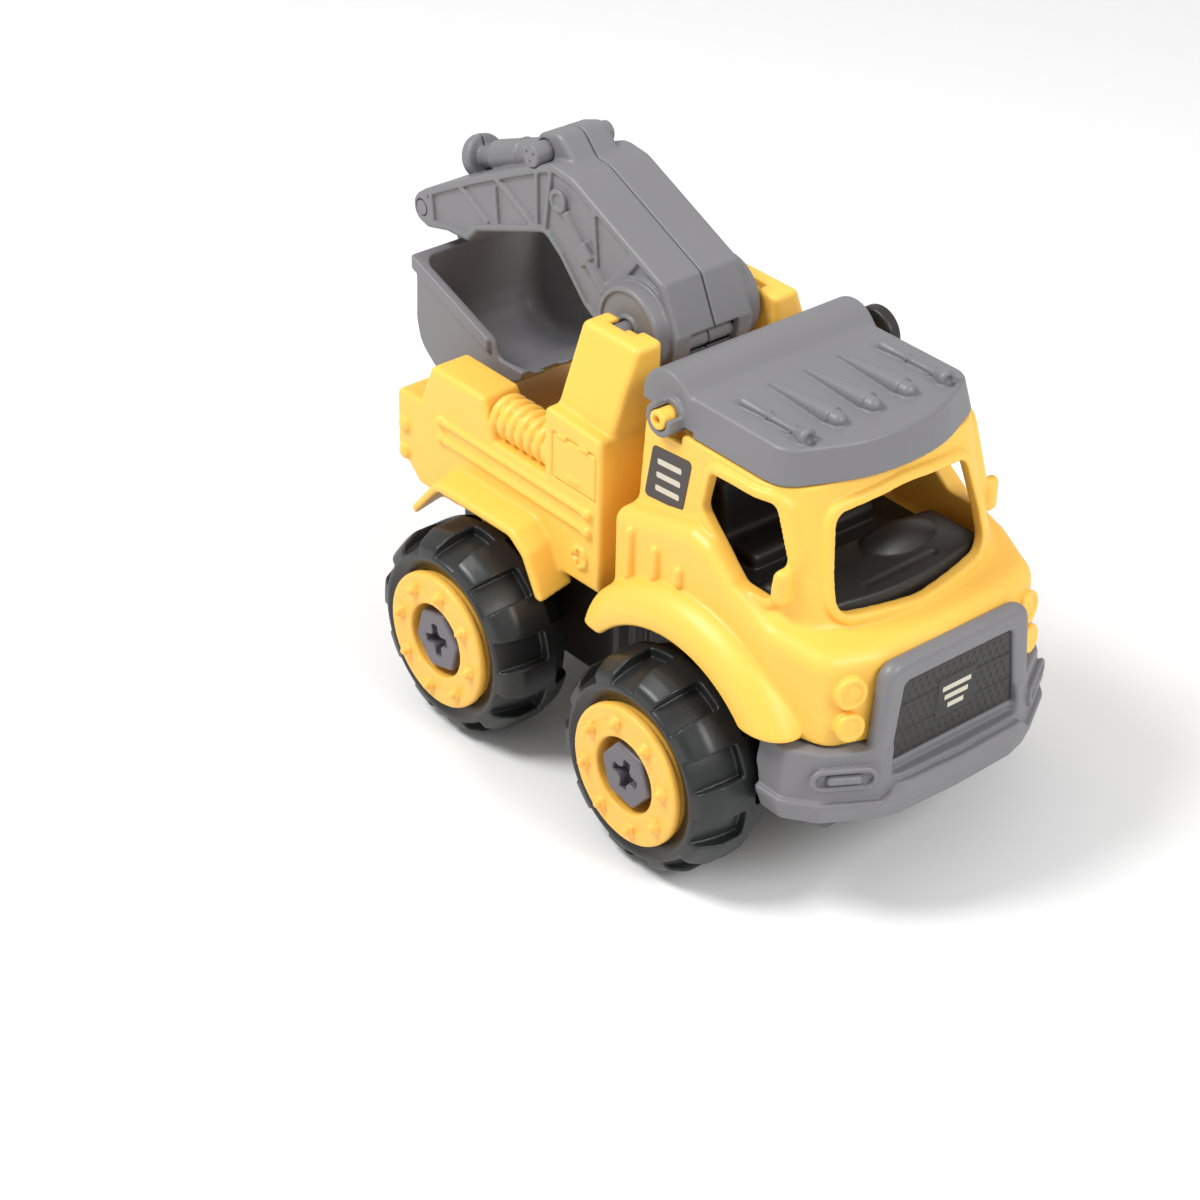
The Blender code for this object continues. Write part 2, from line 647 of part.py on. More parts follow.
def front_bumper():
    """A bar under the cab's nose, and the surround that rises in front of it."""
    bar = plate("front_bumper", "XY", BUMPER_PLAN, 22.0, 41.0)
    back = [(50.0, -38.8), (64.5, -38.8), (74.0, -25.0), (74.0, 25.0), (64.5, 38.8), (50.0, 38.8)]
    cut(bar, plate("bumper_back", "XY", back, 24.0, 50.0))
    cut(bar, rod_y("bumper_arch", (AXLES["front"], AXLE_Z), (-60.0, 60.0), WHEEL_R + 1.8, 64))
    cut(bar, box("shelf", (78.9, 90.0), (-19.0, 19.0), (33.5, 50.0)))
    frame_outline = rounded([(-25.5, 38.0, 0), (25.5, 38.0, 0), (23.0, 62.5, 3), (-23.0, 62.5, 3)])
    surround = plate("surround", "YZ", frame_outline, 76.3, 79.2)
    join(bar, surround)
    opening = rounded([(-20.2, 35.8, 0), (20.2, 35.8, 0), (17.4, 57.0, 1), (-17.4, 57.0, 1)])
    cut(bar, plate("grille_recess", "YZ", opening, 77.6, 85.0))
    for side in (-1, 1):
        x, y = BUMPER_BOLT[0], side * BUMPER_BOLT[1]
        lug = box(f"bumper_lug_{side}", (x - 6, x + 12), (y - 5, y + 5), (22.0, 32.0))
        join(bar, lug)
        cut(bar, rod(f"lug_hole_{side}", (x, y, 20.0), (x, y, 31.0), BODY_BOLT_R + GAP))
    as_part(bar, "grey")


def grille_plate():
    outline = [(-19.9, 36.1), (19.9, 36.1), (17.1, 56.7), (-17.1, 56.7)]
    as_part(plate("grille_plate", "YZ", outline, 77.9, 78.8), "black")


# Rear body

BODY_SIDE = rounded(
    [
        (-77.0, 43.5, 1),
        (BODY_FRONT_X, BODY_BASE_Z, 0),
        (BODY_FRONT_X, 87.5, 2),
        (TOWER_X[0], 88.5, 2),
        (TOWER_X[0], 69.5, 0),
        (-46.0, 69.5, 0),
        (-50.0, 80.0, 1),
        (-71.0, 80.0, 1),
        (-76.3, 68.0, 1),
        (-86.0, 68.0, 1),
        (-86.0, 51.5, 1),
    ]
)
REAR_MUDGUARD = rounded(
    [
        (-70.3, 42.4, 0),
        (-68.4, 41.2, 0),
        (-59.0, 52.0, 3),
        (-30.4, 52.8, 3),
        (-25.4, 49.4, 3),
        (-19.9, 39.8, 0),
        (-17.2, 39.8, 0),
        (-23.4, 51.0, 3),
        (-28.9, 55.0, 3),
        (-60.2, 54.3, 3),
    ]
)


def tower(side):
    """One side of the boom's yoke, with its outer face leaning in."""
    outline = rounded(
        [
            (side * TOWER_INNER_Y, 76.0, 0),
            (side * TOWER_INNER_Y, TOWER_TOP_Z, 1),
            (side * TOWER_TOP_Y, TOWER_TOP_Z, 1),
            (side * TOWER_BASE_Y, 88.5, 0),
            (side * TOWER_BASE_Y, 76.0, 0),
        ]
    )
    return plate(f"tower_{side}", "YZ", outline, TOWER_X[0] + 0.2, BODY_FRONT_X - 0.6)


def rear_body():
    body = plate("rear_body", "XZ", BODY_SIDE, -BODY_Y, BODY_Y)
    bevel(body, 0.8)
    join(body, tower(-1), tower(1))
    cut(body, box("channel", (-100.0, TOWER_X[0] - 1.5), (-CHANNEL_Y, CHANNEL_Y), (DECK_Z, 120.0)))
    cut(body, box("yoke_gap", (-40.0, 5.0), (-TOWER_INNER_Y, TOWER_INNER_Y), (80.0, 120.0)))
    half = BODY_Y - WALL
    cut(body, box("under_deck", (-76.0, BODY_FRONT_X - WALL), (-half, half), (40.0, DECK_Z - WALL)))
    cut(body, box("front_inside", (TOWER_X[0] + WALL, BODY_FRONT_X - WALL), (-16.0, 16.0), (40.0, 76.0)))
    for side in (-1, 1):
        inner, outer = side * (CHANNEL_Y + WALL), side * (BODY_Y - WALL)
        cut(body, box(f"block_inside_{side}", (-69.0, -50.0), (inner, outer), (40.0, 77.5)))
        cut(body, box(f"sill_inside_{side}", (-76.0, -28.0), (inner, outer), (40.0, 65.5)))
        room_y = (side * (TOWER_INNER_Y + WALL), side * (TOWER_BASE_Y - WALL))
        cut(body, box(f"tower_inside_{side}", (TOWER_X[0] + WALL, BODY_FRONT_X - WALL), room_y, (40.0, 85.0)))
        spring = rod(f"spring_{side}", (-49.0, side * 30.4, 74.6), (-24.0, side * 30.4, 74.6), 6.3, 24)
        join(body, spring)
    for guard in both_sides("rear_mudguard", REAR_MUDGUARD, BODY_Y - 1.5, 44.6):
        for vertex in guard.data.vertices:
            if abs(vertex.co.y) < BODY_Y * MM:
                vertex.co.z += 2.0 * MM
        join(body, guard)
    for side in (-1, 1):
        arch_y = (side * (TYRE_INNER_Y - 1.0), side * 60.0)
        cut(body, rod_y(f"rear_arch_{side}", (AXLES["rear"], AXLE_Z), arch_y, WHEEL_R + 2.0, 48))
    ends = (-BOOM_PIN_END_Y - GAP, BOOM_PIN_END_Y + GAP)
    cut(body, rod_y("pivot_bore", BOOM_PIVOT, ends, BOOM_PIN_R + GAP))
    for name, top_z in (("middle", 77.5), ("rear", DECK_Z - 1.0)):
        post, hole = bolt_post(f"rear_post_{name}", BODY_BOLTS[name], top_z)
        join(body, post)
        cut(body, hole)
    as_part(body, "yellow")


# Boom and bucket

BOOM_SIDE = (
    arc(BOOM_PIVOT, 13.2, -110, 5, 10)
    + [(-9.8, 110.0), (-13.3, 118.0), (-46.3, 132.7), (-52.0, 133.9), (-58.0, 132.4), (-63.4, 130.2)]
    + [(-85.6, 119.5), (-106.8, 108.2), (-109.2, 106.6), (-110.5, 104.6), (-110.9, 102.4)]
    + [(-110.2, 100.3), (-108.6, 98.9), (-106.4, 98.4), (-104.2, 98.6), (-98.0, 100.0), (-88.0, 100.4)]
    + [(-84.3, 104.4), (-57.5, 114.6), (-51.5, 110.4), (-42.0, 100.9), (-36.0, 97.5)]
)
KNEE_BLOCK = rounded(
    [(-50.2, 126.0, 0), (-51.8, 133.5, 2), (-57.0, 139.5, 3)]
    + [(-65.5, 137.6, 3), (-70.0, 131.5, 2), (-71.0, 122.0, 0)]
)


def in_plane(point, y):
    return (point[0], y, point[1])


def boom_half(name, side, joint):
    """One half of the boom: a shell that is open at the centre plane, with its pivot disc and bosses."""

    def across(near, far):
        return tuple(sorted((side * near, side * far)))

    past_seam = -2.0
    half = bevel(plate(name, "XZ", BOOM_SIDE, *across(past_seam, BOOM_Y)), 0.9)
    join(half, plate(f"knee_block_{side}", "XZ", KNEE_BLOCK, *across(past_seam - 0.2, KNEE_BLOCK_Y)))
    join(half, rod_y(f"disc_{side}", BOOM_PIVOT, across(BOOM_Y - 2.0, BOOM_DISC_Y), BOOM_DISC_R, 40))
    cut(half, plate(f"boom_inside_{side}", "XZ", inset(BOOM_SIDE, 2.2), *across(-4.0, BOOM_Y - 2.3)))
    ram_end = Vector(RAM_END) + (Vector(RAM_END) - Vector(RAM_STEP)).normalized() * 1.8
    ram_back = Vector(RAM_END) * 2 - ram_end
    for part, start, end, radius in (
        ("barrel", RAM_START, RAM_STEP, 3.4),
        ("rod", RAM_STEP, ram_end, 2.6),
        ("flange", ram_back, ram_end, 5.5),
    ):
        join(half, rod(f"ram_{part}_{side}", in_plane(start, 0), in_plane(end, 0), radius))
    for screw, place in BOOM_SCREWS.items():
        join(half, rod_y(f"post_{screw}_{side}", place, across(past_seam - 0.4, BOOM_Y - 1.5), 3.2, 24))
    join(half, rod_y(f"hub_{side}", BOOM_PIVOT, across(past_seam - 0.6, BOOM_Y), 5.5))
    cut(half, box(f"seam_{side}", (-117.0, 3.0), across(-9.0, GAP / 2), (84.0, 149.0)))
    join(half, rod_y(f"arm_boss_{side}", BUCKET_PIVOT, across(LUG_Y + 0.6, BOOM_Y - 1.0), 4.0, 24))
    slot = rounded(
        [(-120.0, 80.0, 0), (-94.0, 80.0, 0), (-94.0, 103.5, 2), (-103.0, 108.0, 0), (-120.0, 108.0, 0)]
    )
    cut(half, plate(f"lug_slot_{side}", "XZ", slot, *across(-12.0, LUG_Y + 0.5)))
    cut(half, rod_y(f"pivot_hole_{side}", BOOM_PIVOT, across(-1.0, 20.0), BOOM_PIN_R + GAP))
    cut(half, rod_y(f"bucket_hole_{side}", BUCKET_PIVOT, across(-1.0, 20.0), BUCKET_PIN_R + GAP, 24))
    for screw, place in BOOM_SCREWS.items():
        depth = across(-1.0, 20.0) if side > 0 else across(-1.0, 8.3)
        cut(half, rod_y(f"screw_hole_{screw}_{side}", place, depth, 1.5, 16))
        if side > 0:
            cut(half, rod_y(f"screw_seat_{screw}", place, (9.2, 20.0), 2.7, 24))
    cut(half, rod_y(f"knee_hole_{side}", KNEE_PIN, across(-1.0, 20.0), KNEE_PIN_R + GAP, 28))
    return as_part(half, "grey", joint)


def boom():
    joint = new_empty("boom_axis", in_plane(BOOM_PIVOT, 0.0), TRUCK)
    boom_half("boom_half_right", -1, joint)
    boom_half("boom_half_left", 1, joint)
    as_part(rod_y("knee_pin", KNEE_PIN, (-12.4, 12.4), KNEE_PIN_R), "grey", joint)
    as_part(rod_y("bucket_pivot_pin", BUCKET_PIVOT, (-12.2, 12.2), BUCKET_PIN_R, 24), "grey", joint)
    as_part(rod_y("boom_pivot_pin", BOOM_PIVOT, (-BOOM_PIN_END_Y, BOOM_PIN_END_Y), BOOM_PIN_R), "grey")
    for name, place in BOOM_SCREWS.items():
        screw = rod_y(f"boom_screw_{name}", place, (9.5, 11.2), 2.4, 24)
        join(screw, rod_y(f"screw_shank_{name}", place, (-8.0, 10.0), 1.2, 16))
        as_part(screw, "steel", joint)


BUCKET_SIDE = [
    (-101.3, 93.9),
    (-100.6, 87.0),
    (-101.0, 76.0),
    (-99.4, 70.2),
    (-94.0, 65.0),
    (-88.0, 63.4),
    (-78.0, 65.2),
    (-66.0, 70.6),
    (-57.2, 75.6),
    (-56.8, 78.2),
    (-67.4, 77.8),
    (-68.6, 82.0),
]


def bucket():
    """Shell with its opening upwards, a toothed lip, and a lug that hangs in the arm's slot."""
    joint = new_empty("bucket_axis", in_plane(BUCKET_PIVOT, 0.0), TRUCK)
    shell = plate("bucket", "XZ", BUCKET_SIDE, -BUCKET_Y, BUCKET_Y)
    inner = inset(BUCKET_SIDE, BUCKET_WALL)
    room = [(-99.0, 105.0)] + inner[1:8] + [(-55.0, 78.6), (-55.0, 95.0)]
    cut(shell, plate("bucket_room", "XZ", room, -BUCKET_Y + BUCKET_WALL, BUCKET_Y - BUCKET_WALL))
    for side in (-1, 1):
        cut(shell, box(f"tooth_gap_{side}", (-61.0, -50.0), (side * 4.5, side * 11.3), (65.0, 85.0)))
    eye = arc(BUCKET_PIVOT, 3.4, 30, 210, 8)
    lug = plate("lug", "XZ", eye + [(-102.4, 90.5), (-99.6, 86.0), (-99.6, 92.6)], -LUG_Y, LUG_Y)
    join(shell, lug)
    cut(shell, rod_y("lug_hole", BUCKET_PIVOT, (-10.0, 10.0), BUCKET_PIN_R + GAP, 24))
    as_part(shell, "grey", joint)


clear_scene()
PARTS = new_collection("toy_construction_truck")
CUTTERS = new_collection("cutters", rendered=False)
MATERIALS = {name: new_material(name) for name in COLOURS}
TRUCK = new_empty("truck", (CENTRE_SHIFT, 0.0, GROUND_SHIFT))
chassis()
bolts_below()
wheels()
cab_shell()
cab_inside()
cab_roof()
hinge_knob()
front_bumper()
grille_plate()
rear_body()
boom()
bucket()
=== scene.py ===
import math

import bmesh
import bpy
import numpy as np
from mathutils import Matrix, Vector


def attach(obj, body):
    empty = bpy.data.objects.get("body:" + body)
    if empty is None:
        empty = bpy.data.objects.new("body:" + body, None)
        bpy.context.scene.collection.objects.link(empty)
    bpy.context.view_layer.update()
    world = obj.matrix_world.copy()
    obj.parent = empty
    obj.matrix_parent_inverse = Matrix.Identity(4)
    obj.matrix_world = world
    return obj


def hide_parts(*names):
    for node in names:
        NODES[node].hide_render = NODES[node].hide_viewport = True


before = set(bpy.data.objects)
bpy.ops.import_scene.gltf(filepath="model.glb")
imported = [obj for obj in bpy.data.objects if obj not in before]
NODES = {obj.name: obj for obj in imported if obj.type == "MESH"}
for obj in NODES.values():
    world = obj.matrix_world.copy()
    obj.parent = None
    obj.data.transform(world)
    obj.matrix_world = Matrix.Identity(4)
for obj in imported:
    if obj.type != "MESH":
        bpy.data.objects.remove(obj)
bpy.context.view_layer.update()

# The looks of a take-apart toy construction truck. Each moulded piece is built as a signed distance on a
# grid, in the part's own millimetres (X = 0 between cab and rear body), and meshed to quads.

MM = 0.001
ORIGIN = np.array((14.2, 0.0, 6.2))  # from the world's origin to the millimetre frame
FAR = 1e3


# Places that several pieces share, in millimetres; a pair is (x, z)

FRONT_AXLE, REAR_AXLE, AXLE_Z = 30.0, -42.9, 21.2
ROOF_PIN, ROOF_ROLL = (12.2, 101.1), (9.2, 102.5)
PIVOT, KNEE, BUCKET_PIN = (-20.5, 104.5), (-62.8, 133.2), (-107.4, 102.9)
BOOM_SCREWS = ((-58.0, 121.5), (-90.0, 108.5), (-36.5, 113.5))
CAB_BOLTS, REAR_BOLTS = (48.5, 10.0), (-14.0, -62.0)
BUMPER_BOLT = (64.0, 26.0)  # x and y
BOLT_HOLE_R, POST_R, POST_BASE_Z = 2.8, 5.0, 13.8
PIVOT_R, BUCKET_PIN_R = 2.8, 2.3  # the holes' radii
SEAM_Y = 0.15  # half of the gap between the boom's halves
CABIN_BASE_Z, CABIN_WALL = 63.0, 1.7


# Distance fields. A shape is (function of x, y, z, its box); boxes are (low corner, high corner).


def smooth_min(a, b, k):
    """The smaller of two distances, blended where they are within k of each other."""
    if k <= 0:
        return np.minimum(a, b)
    near = np.maximum(k - np.abs(a - b), 0.0) / k
    return np.minimum(a, b) - near * near * (k / 4)


def round_max(a, b, r):
    """Where both are inside, with the edge rounded to the radius."""
    if r <= 0:
        return np.maximum(a, b)
    corner = np.sqrt(np.maximum(a + r, 0.0) ** 2 + np.maximum(b + r, 0.0) ** 2)
    return np.minimum(np.maximum(a, b), -r) + corner


def outline_distance(u, v, points):
    """Signed distance to a closed outline, for any two arrays of coordinates."""
    u, v = np.broadcast_arrays(u, v)
    nearest = np.full(u.shape, 1e12, np.float32)
    inside = np.zeros(u.shape, bool)
    for (au, av), (bu, bv) in zip(points, points[1:] + points[:1]):
        eu, ev = bu - au, bv - av
        wu, wv = u - au, v - av
        t = np.clip((wu * eu + wv * ev) / (eu * eu + ev * ev + 1e-12), 0.0, 1.0)
        nearest = np.minimum(nearest, (wu - eu * t) ** 2 + (wv - ev * t) ** 2)
        if av != bv:
            inside ^= ((av > v) != (bv > v)) & (wu < eu * wv / ev)
    return np.where(inside, -1.0, 1.0).astype(np.float32) * np.sqrt(nearest)


def reach(points):
    """The low and the high corner of an outline."""
    us, vs = zip(*points)
    return (min(us), min(vs)), (max(us), max(vs))


def block(x, y, z, r=0.5):
    """A box between pairs of limits, its edges rounded."""
    limits = [sorted(pair) for pair in (x, y, z)]
    centre = [(low + high) / 2 for low, high in limits]
    half = [(high - low) / 2 - r for low, high in limits]

    def distance(*xyz):
        over = [np.abs(a - c) - h for a, c, h in zip(xyz, centre, half)]
        outside = np.sqrt(sum(np.maximum(q, 0.0) ** 2 for q in over))
        return outside + np.minimum(np.maximum(np.maximum(over[0], over[1]), over[2]), 0.0) - r

    return distance, ([p[0] for p in limits], [p[1] for p in limits])


def rod(start, end, radius, r=0.4, end_radius=None):
    """A cylinder or cone between two points, its rims rounded."""
    start, end = np.array(start, float), np.array(end, float)
    length = np.linalg.norm(end - start)
    along = (end - start) / length
    last = radius if end_radius is None else end_radius

    def distance(*xyz):
        away = [a - s for a, s in zip(xyz, start)]
        t = sum(a * n for a, n in zip(away, along))
        out = np.sqrt(np.maximum(sum(a * a for a in away) - t * t, 0.0))
        here = radius + (last - radius) * np.clip(t / length, 0.0, 1.0)
        return round_max(out - here, np.abs(t - length / 2) - length / 2, r)

    size = max(radius, last)
    return distance, (np.minimum(start, end) - size, np.maximum(start, end) + size)


def ball(centre, radius, flat=(1.0, 1.0, 1.0)):
    """A ball, flattened along each axis by its share of the radius."""
    def distance(*xyz):
        return (np.sqrt(sum(((a - c) / f) ** 2 for a, c, f in zip(xyz, centre, flat))) - radius) * min(flat)

    size = radius * np.array(flat)
    return distance, (np.array(centre) - size, np.array(centre) + size)


def ring(centre, axis, big, small):
    """A torus round an axis."""
    axis = np.array(axis, float) / np.linalg.norm(axis)

    def distance(*xyz):
        away = [a - c for a, c in zip(xyz, centre)]
        t = sum(a * n for a, n in zip(away, axis))
        out = np.sqrt(np.maximum(sum(a * a for a in away) - t * t, 0.0))
        return np.sqrt((out - big) ** 2 + t * t) - small

    return distance, (np.array(centre) - big - small, np.array(centre) + big + small)


PLANE_AXES = {"XZ": (0, 2, 1), "YZ": (1, 2, 0), "XY": (0, 1, 2)}


def plate(plane, outline, low, high, r=0.5):
    """An outline in a plane, extruded along the third axis, its rims rounded."""
    first, second, third = PLANE_AXES[plane]

    def distance(*xyz):
        flat = outline_distance(xyz[first], xyz[second], outline)
        return round_max(flat, np.abs(xyz[third] - (low + high) / 2) - (high - low) / 2, r)

    (u0, v0), (u1, v1) = reach(outline)
    box = np.zeros((2, 3))
    box[0][[first, second, third]] = u0, v0, low
    box[1][[first, second, third]] = u1, v1, high
    return distance, (box[0], box[1])


def spun(x, z, profile):
    """A closed profile of (radius, y) points turned about an axis across the truck."""

    def distance(px, py, pz):
        return outline_distance(np.sqrt((px - x) ** 2 + (pz - z) ** 2), py, profile)

    (_, y0), (size, y1) = reach(profile)
    return distance, ((x - size, y0, z - size), (x + size, y1, z + size))


def unit(start, end):
    """The direction from one point to another."""
    along = np.array(end) - np.array(start)
    return along / np.linalg.norm(along)


def in_plane(point, y):
    """A point of the truck's middle plane, moved out to y."""
    return (point[0], y, point[1])


def rod_y(place, y, radius, r=0.1, end_radius=None):
    """A rod across the truck through a place (x, z), from y[0] to y[1]."""
    return rod(in_plane(place, y[0]), in_plane(place, y[1]), radius, r, end_radius)


def arc(centre, radius, start, end, steps=10):
    """Points along an arc, in degrees. Two radii make it an ellipse's."""
    angles = [math.radians(start + (end - start) * i / steps) for i in range(steps + 1)]
    radii = radius if isinstance(radius, tuple) else (radius, radius)
    return [(centre[0] + radii[0] * math.cos(a), centre[1] + radii[1] * math.sin(a)) for a in angles]


def rounded(corners, steps=8):
    """An outline whose corners (u, v, radius) are replaced by arcs."""
    outline = []
    for i, (u, v, radius) in enumerate(corners):
        corner = Vector((u, v))
        before = (Vector(corners[i - 1][:2]) - corner).normalized()
        after = (Vector(corners[(i + 1) % len(corners)][:2]) - corner).normalized()
        half = before.angle(after) / 2
        if radius == 0 or abs(math.degrees(half) - 90) < 1:
            outline.append((u, v))
            continue
        start = corner + before * radius / math.tan(half)
        centre = corner + (before + after).normalized() * radius / math.sin(half)
        first = start - centre
        sweep = first.angle_signed(corner + after * radius / math.tan(half) - centre)
        for step in range(steps + 1):
            spoke = first.copy()
            spoke.rotate(Matrix.Rotation(-sweep * step / steps, 2))
            outline.append(tuple(centre + spoke))
    return outline


def mirrored_rounded(right, steps=8):
    """A closed plan from its right-hand corners (x, y, radius), given from rear to front."""
    left = [(x, -y, r) for x, y, r in reversed(right) if y]
    return rounded(right + left, steps)


class Form:
    """A moulded piece, as a field sampled over its box. A mirrored form is sampled on one side only."""

    def __init__(self, x, y, z, step, mirrored=True):
        self.step, self.mirrored = step, mirrored
        ranges = (x, (0.0, y[1]) if mirrored else y, z)
        self.axes = [np.arange(low, high + step, step, dtype=np.float32) for low, high in ranges]
        self.field = np.full([len(a) for a in self.axes], FAR, np.float32)

    def coordinates(self, part):
        x, y, z = (axis[s] for axis, s in zip(self.axes, part))
        return np.meshgrid(x, y, z, indexing="ij", sparse=True)

    def part_of(self, box, margin):
        slices = []
        for axis, low, high in zip(self.axes, *box):
            first = np.searchsorted(axis, low - margin)
            last = np.searchsorted(axis, high + margin)
            slices.append(slice(first, max(last, first)))
        return tuple(slices)

    def change(self, shape, blend, merge):
        function, box = shape
        part = self.part_of(box, blend + 3 * self.step)
        if self.field[part].size:
            self.field[part] = merge(self.field[part], function(*self.coordinates(part)), blend)

    def add(self, *shapes, blend=0.0):
        for shape in shapes:
            self.change(shape, blend, smooth_min)
        return self

    def cut(self, *shapes, blend=0.0):
        for shape in shapes:
            self.change(shape, blend, lambda a, b, k: -smooth_min(-a, b, k))
        return self

    def whole(self):
        """The field on both sides, and the low corner of its grid."""
        field = self.field
        low = np.array([axis[0] for axis in self.axes], float)
        if self.mirrored:
            field = np.concatenate((field[:, :0:-1], field), axis=1)
            low[1] = -self.axes[1][-1]
        return field, low


CORNERS = list(np.ndindex(2, 2, 2))
EDGES = [(a, b) for a in range(8) for b in range(a + 1, 8) if math.dist(CORNERS[a], CORNERS[b]) == 1]


def surface_of(field, low, step):
    """Points and quads round the field's zero: a point in each crossed cell, at the mean of its crossings."""
    inside = field < 0
    size = np.array(field.shape) - 1
    count = sum(
        inside[i : size[0] + i, j : size[1] + j, k : size[2] + k].astype(np.int8) for i, j, k in CORNERS
    )
    crossed = (count > 0) & (count < 8)
    cells = np.argwhere(crossed)
    number = np.full(crossed.shape, -1, np.int32)
    number[crossed] = np.arange(len(cells))
    values = [field[tuple((cells + corner).T)] for corner in CORNERS]
    total, hits = np.zeros((len(cells), 3)), np.zeros(len(cells))
    for a, b in EDGES:
        cut = (values[a] < 0) != (values[b] < 0)
        share = np.where(cut, values[a] / np.where(cut, values[a] - values[b], 1.0), 0.0)
        start, along = np.array(CORNERS[a]), np.array(CORNERS[b]) - np.array(CORNERS[a])
        total += np.where(cut[:, None], start + share[:, None] * along, 0.0)
        hits += cut
    points = low + step * (cells + total / hits[:, None])
    faces = []
    for axis in range(3):
        u, v = (axis + 1) % 3, (axis + 2) % 3
        ends = np.argwhere(np.diff(inside, axis=axis))
        keep = (ends[:, u] > 0) & (ends[:, v] > 0) & (ends[:, u] < size[u]) & (ends[:, v] < size[v])
        ends = ends[keep]
        step_u, step_v = np.eye(3, dtype=int)[[u, v]]
        around = [ends - step_u - step_v, ends - step_v, ends, ends - step_u]
        quads = np.stack([number[tuple(c.T)] for c in around], axis=1)
        outward = inside[tuple(ends.T)]
        quads[~outward] = quads[~outward][:, ::-1]
        faces.append(quads)
    return points, np.concatenate(faces)


def mesh_of(name, form):
    """The form's surface as a mesh in metres."""
    points, faces = surface_of(*form.whole(), form.step)
    mesh = bpy.data.meshes.new(name)
    mesh.vertices.add(len(points))
    mesh.vertices.foreach_set("co", ((points + ORIGIN) * MM).astype(np.float32).ravel())
    mesh.loops.add(faces.size)
    mesh.loops.foreach_set("vertex_index", faces.astype(np.int32).ravel())
    mesh.polygons.add(len(faces))
    mesh.polygons.foreach_set("loop_start", np.arange(0, faces.size, 4, dtype=np.int32))
    mesh.update(calc_edges=True)
    mesh.validate()
    mesh.shade_smooth()
    return mesh


def piece(name, form, material, body, *stands_for):
    """Makes a form or a mesh a visible piece on a body, in place of the CAD nodes it stands for."""
    mesh = form if isinstance(form, bpy.types.Mesh) else mesh_of(name, form)
    obj = bpy.data.objects.new(name, mesh)
    bpy.context.scene.collection.objects.link(obj)
    obj.data.materials.clear()
    obj.data.materials.append(material)
    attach(obj, body)
    if stands_for:
        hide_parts(*stands_for)
    return obj


# Materials


def plastic(name, colour, deeper, roughness, bump=0.15, scale=900.0, subsurface=0.0):
    """Moulded plastic: faint clouding of its colour, uneven gloss, and the fine orange peel of a mould."""
    material = bpy.data.materials.new(name)
    material.use_nodes = True
    nodes, links = material.node_tree.nodes, material.node_tree.links
    shader = nodes["Principled BSDF"]
    place = nodes.new("ShaderNodeTexCoord").outputs["Object"]

    def noise(size, detail):
        node = nodes.new("ShaderNodeTexNoise")
        node.inputs["Scale"].default_value = size
        node.inputs["Detail"].default_value = detail
        links.new(place, node.inputs["Vector"])
        return node.outputs["Fac"]

    clouds = nodes.new("ShaderNodeMix")
    clouds.data_type = "RGBA"
    clouds.inputs["A"].default_value = (*colour, 1.0)
    clouds.inputs["B"].default_value = (*deeper, 1.0)
    links.new(noise(35.0, 3.0), clouds.inputs["Factor"])
    links.new(clouds.outputs["Result"], shader.inputs["Base Color"])
    gloss = nodes.new("ShaderNodeMapRange")
    gloss.inputs["To Min"].default_value = roughness - 0.06
    gloss.inputs["To Max"].default_value = roughness + 0.08
    links.new(noise(160.0, 5.0), gloss.inputs["Value"])
    links.new(gloss.outputs["Result"], shader.inputs["Roughness"])
    peel = nodes.new("ShaderNodeBump")
    peel.inputs["Strength"].default_value = bump
    peel.inputs["Distance"].default_value = 0.00012
    links.new(noise(scale, 2.0), peel.inputs["Height"])
    links.new(peel.outputs["Normal"], shader.inputs["Normal"])
    shader.inputs["Subsurface Weight"].default_value = subsurface
    shader.inputs["Subsurface Radius"].default_value = (0.004, 0.0022, 0.0006)
    shader.inputs["Subsurface Scale"].default_value = 1.0
    return material


YELLOW = plastic("yellow_plastic", (0.93, 0.545, 0.088), (0.91, 0.52, 0.075), 0.42, subsurface=0.15)
RIM_YELLOW = plastic("rim_yellow", (0.91, 0.50, 0.08), (0.88, 0.47, 0.07), 0.42, subsurface=0.15)
GREY = plastic("grey_plastic", (0.186, 0.182, 0.190), (0.168, 0.164, 0.172), 0.44)
BOLT_GREY = plastic("bolt_plastic", (0.125, 0.115, 0.13), (0.11, 0.10, 0.115), 0.38)
BLACK = plastic("black_plastic", (0.020, 0.018, 0.017), (0.015, 0.014, 0.013), 0.42)
TYRE = plastic("tyre_plastic", (0.016, 0.017, 0.017), (0.011, 0.012, 0.012), 0.36, bump=0.3, scale=500.0)
LABEL = plastic("label_print", (0.045, 0.032, 0.028), (0.038, 0.028, 0.024), 0.30)
LABEL_MARK = plastic("label_marks", (0.60, 0.55, 0.45), (0.55, 0.50, 0.40), 0.35)
STEEL = plastic("screw_steel", (0.26, 0.26, 0.27), (0.22, 0.22, 0.23), 0.42)
STEEL.node_tree.nodes["Principled BSDF"].inputs["Metallic"].default_value = 1.0


# Cab


def side_of_cabin(z):
    """How far out the cabin's side wall is at a height."""
    return 34.5 - 0.0735 * (z - CABIN_BASE_Z)


def cabin(x, y, z):
    """The upper cab's leaning walls, curved a little across the windscreen."""
    y = np.abs(y)
    side = (y - side_of_cabin(z)) * 0.997
    front = (x - (66.0 - 0.285 * (z - CABIN_BASE_Z) - y * y / 200.0)) * 0.95
    return round_max(round_max(side, front, 9.0), 4.5 - x, 0.8)


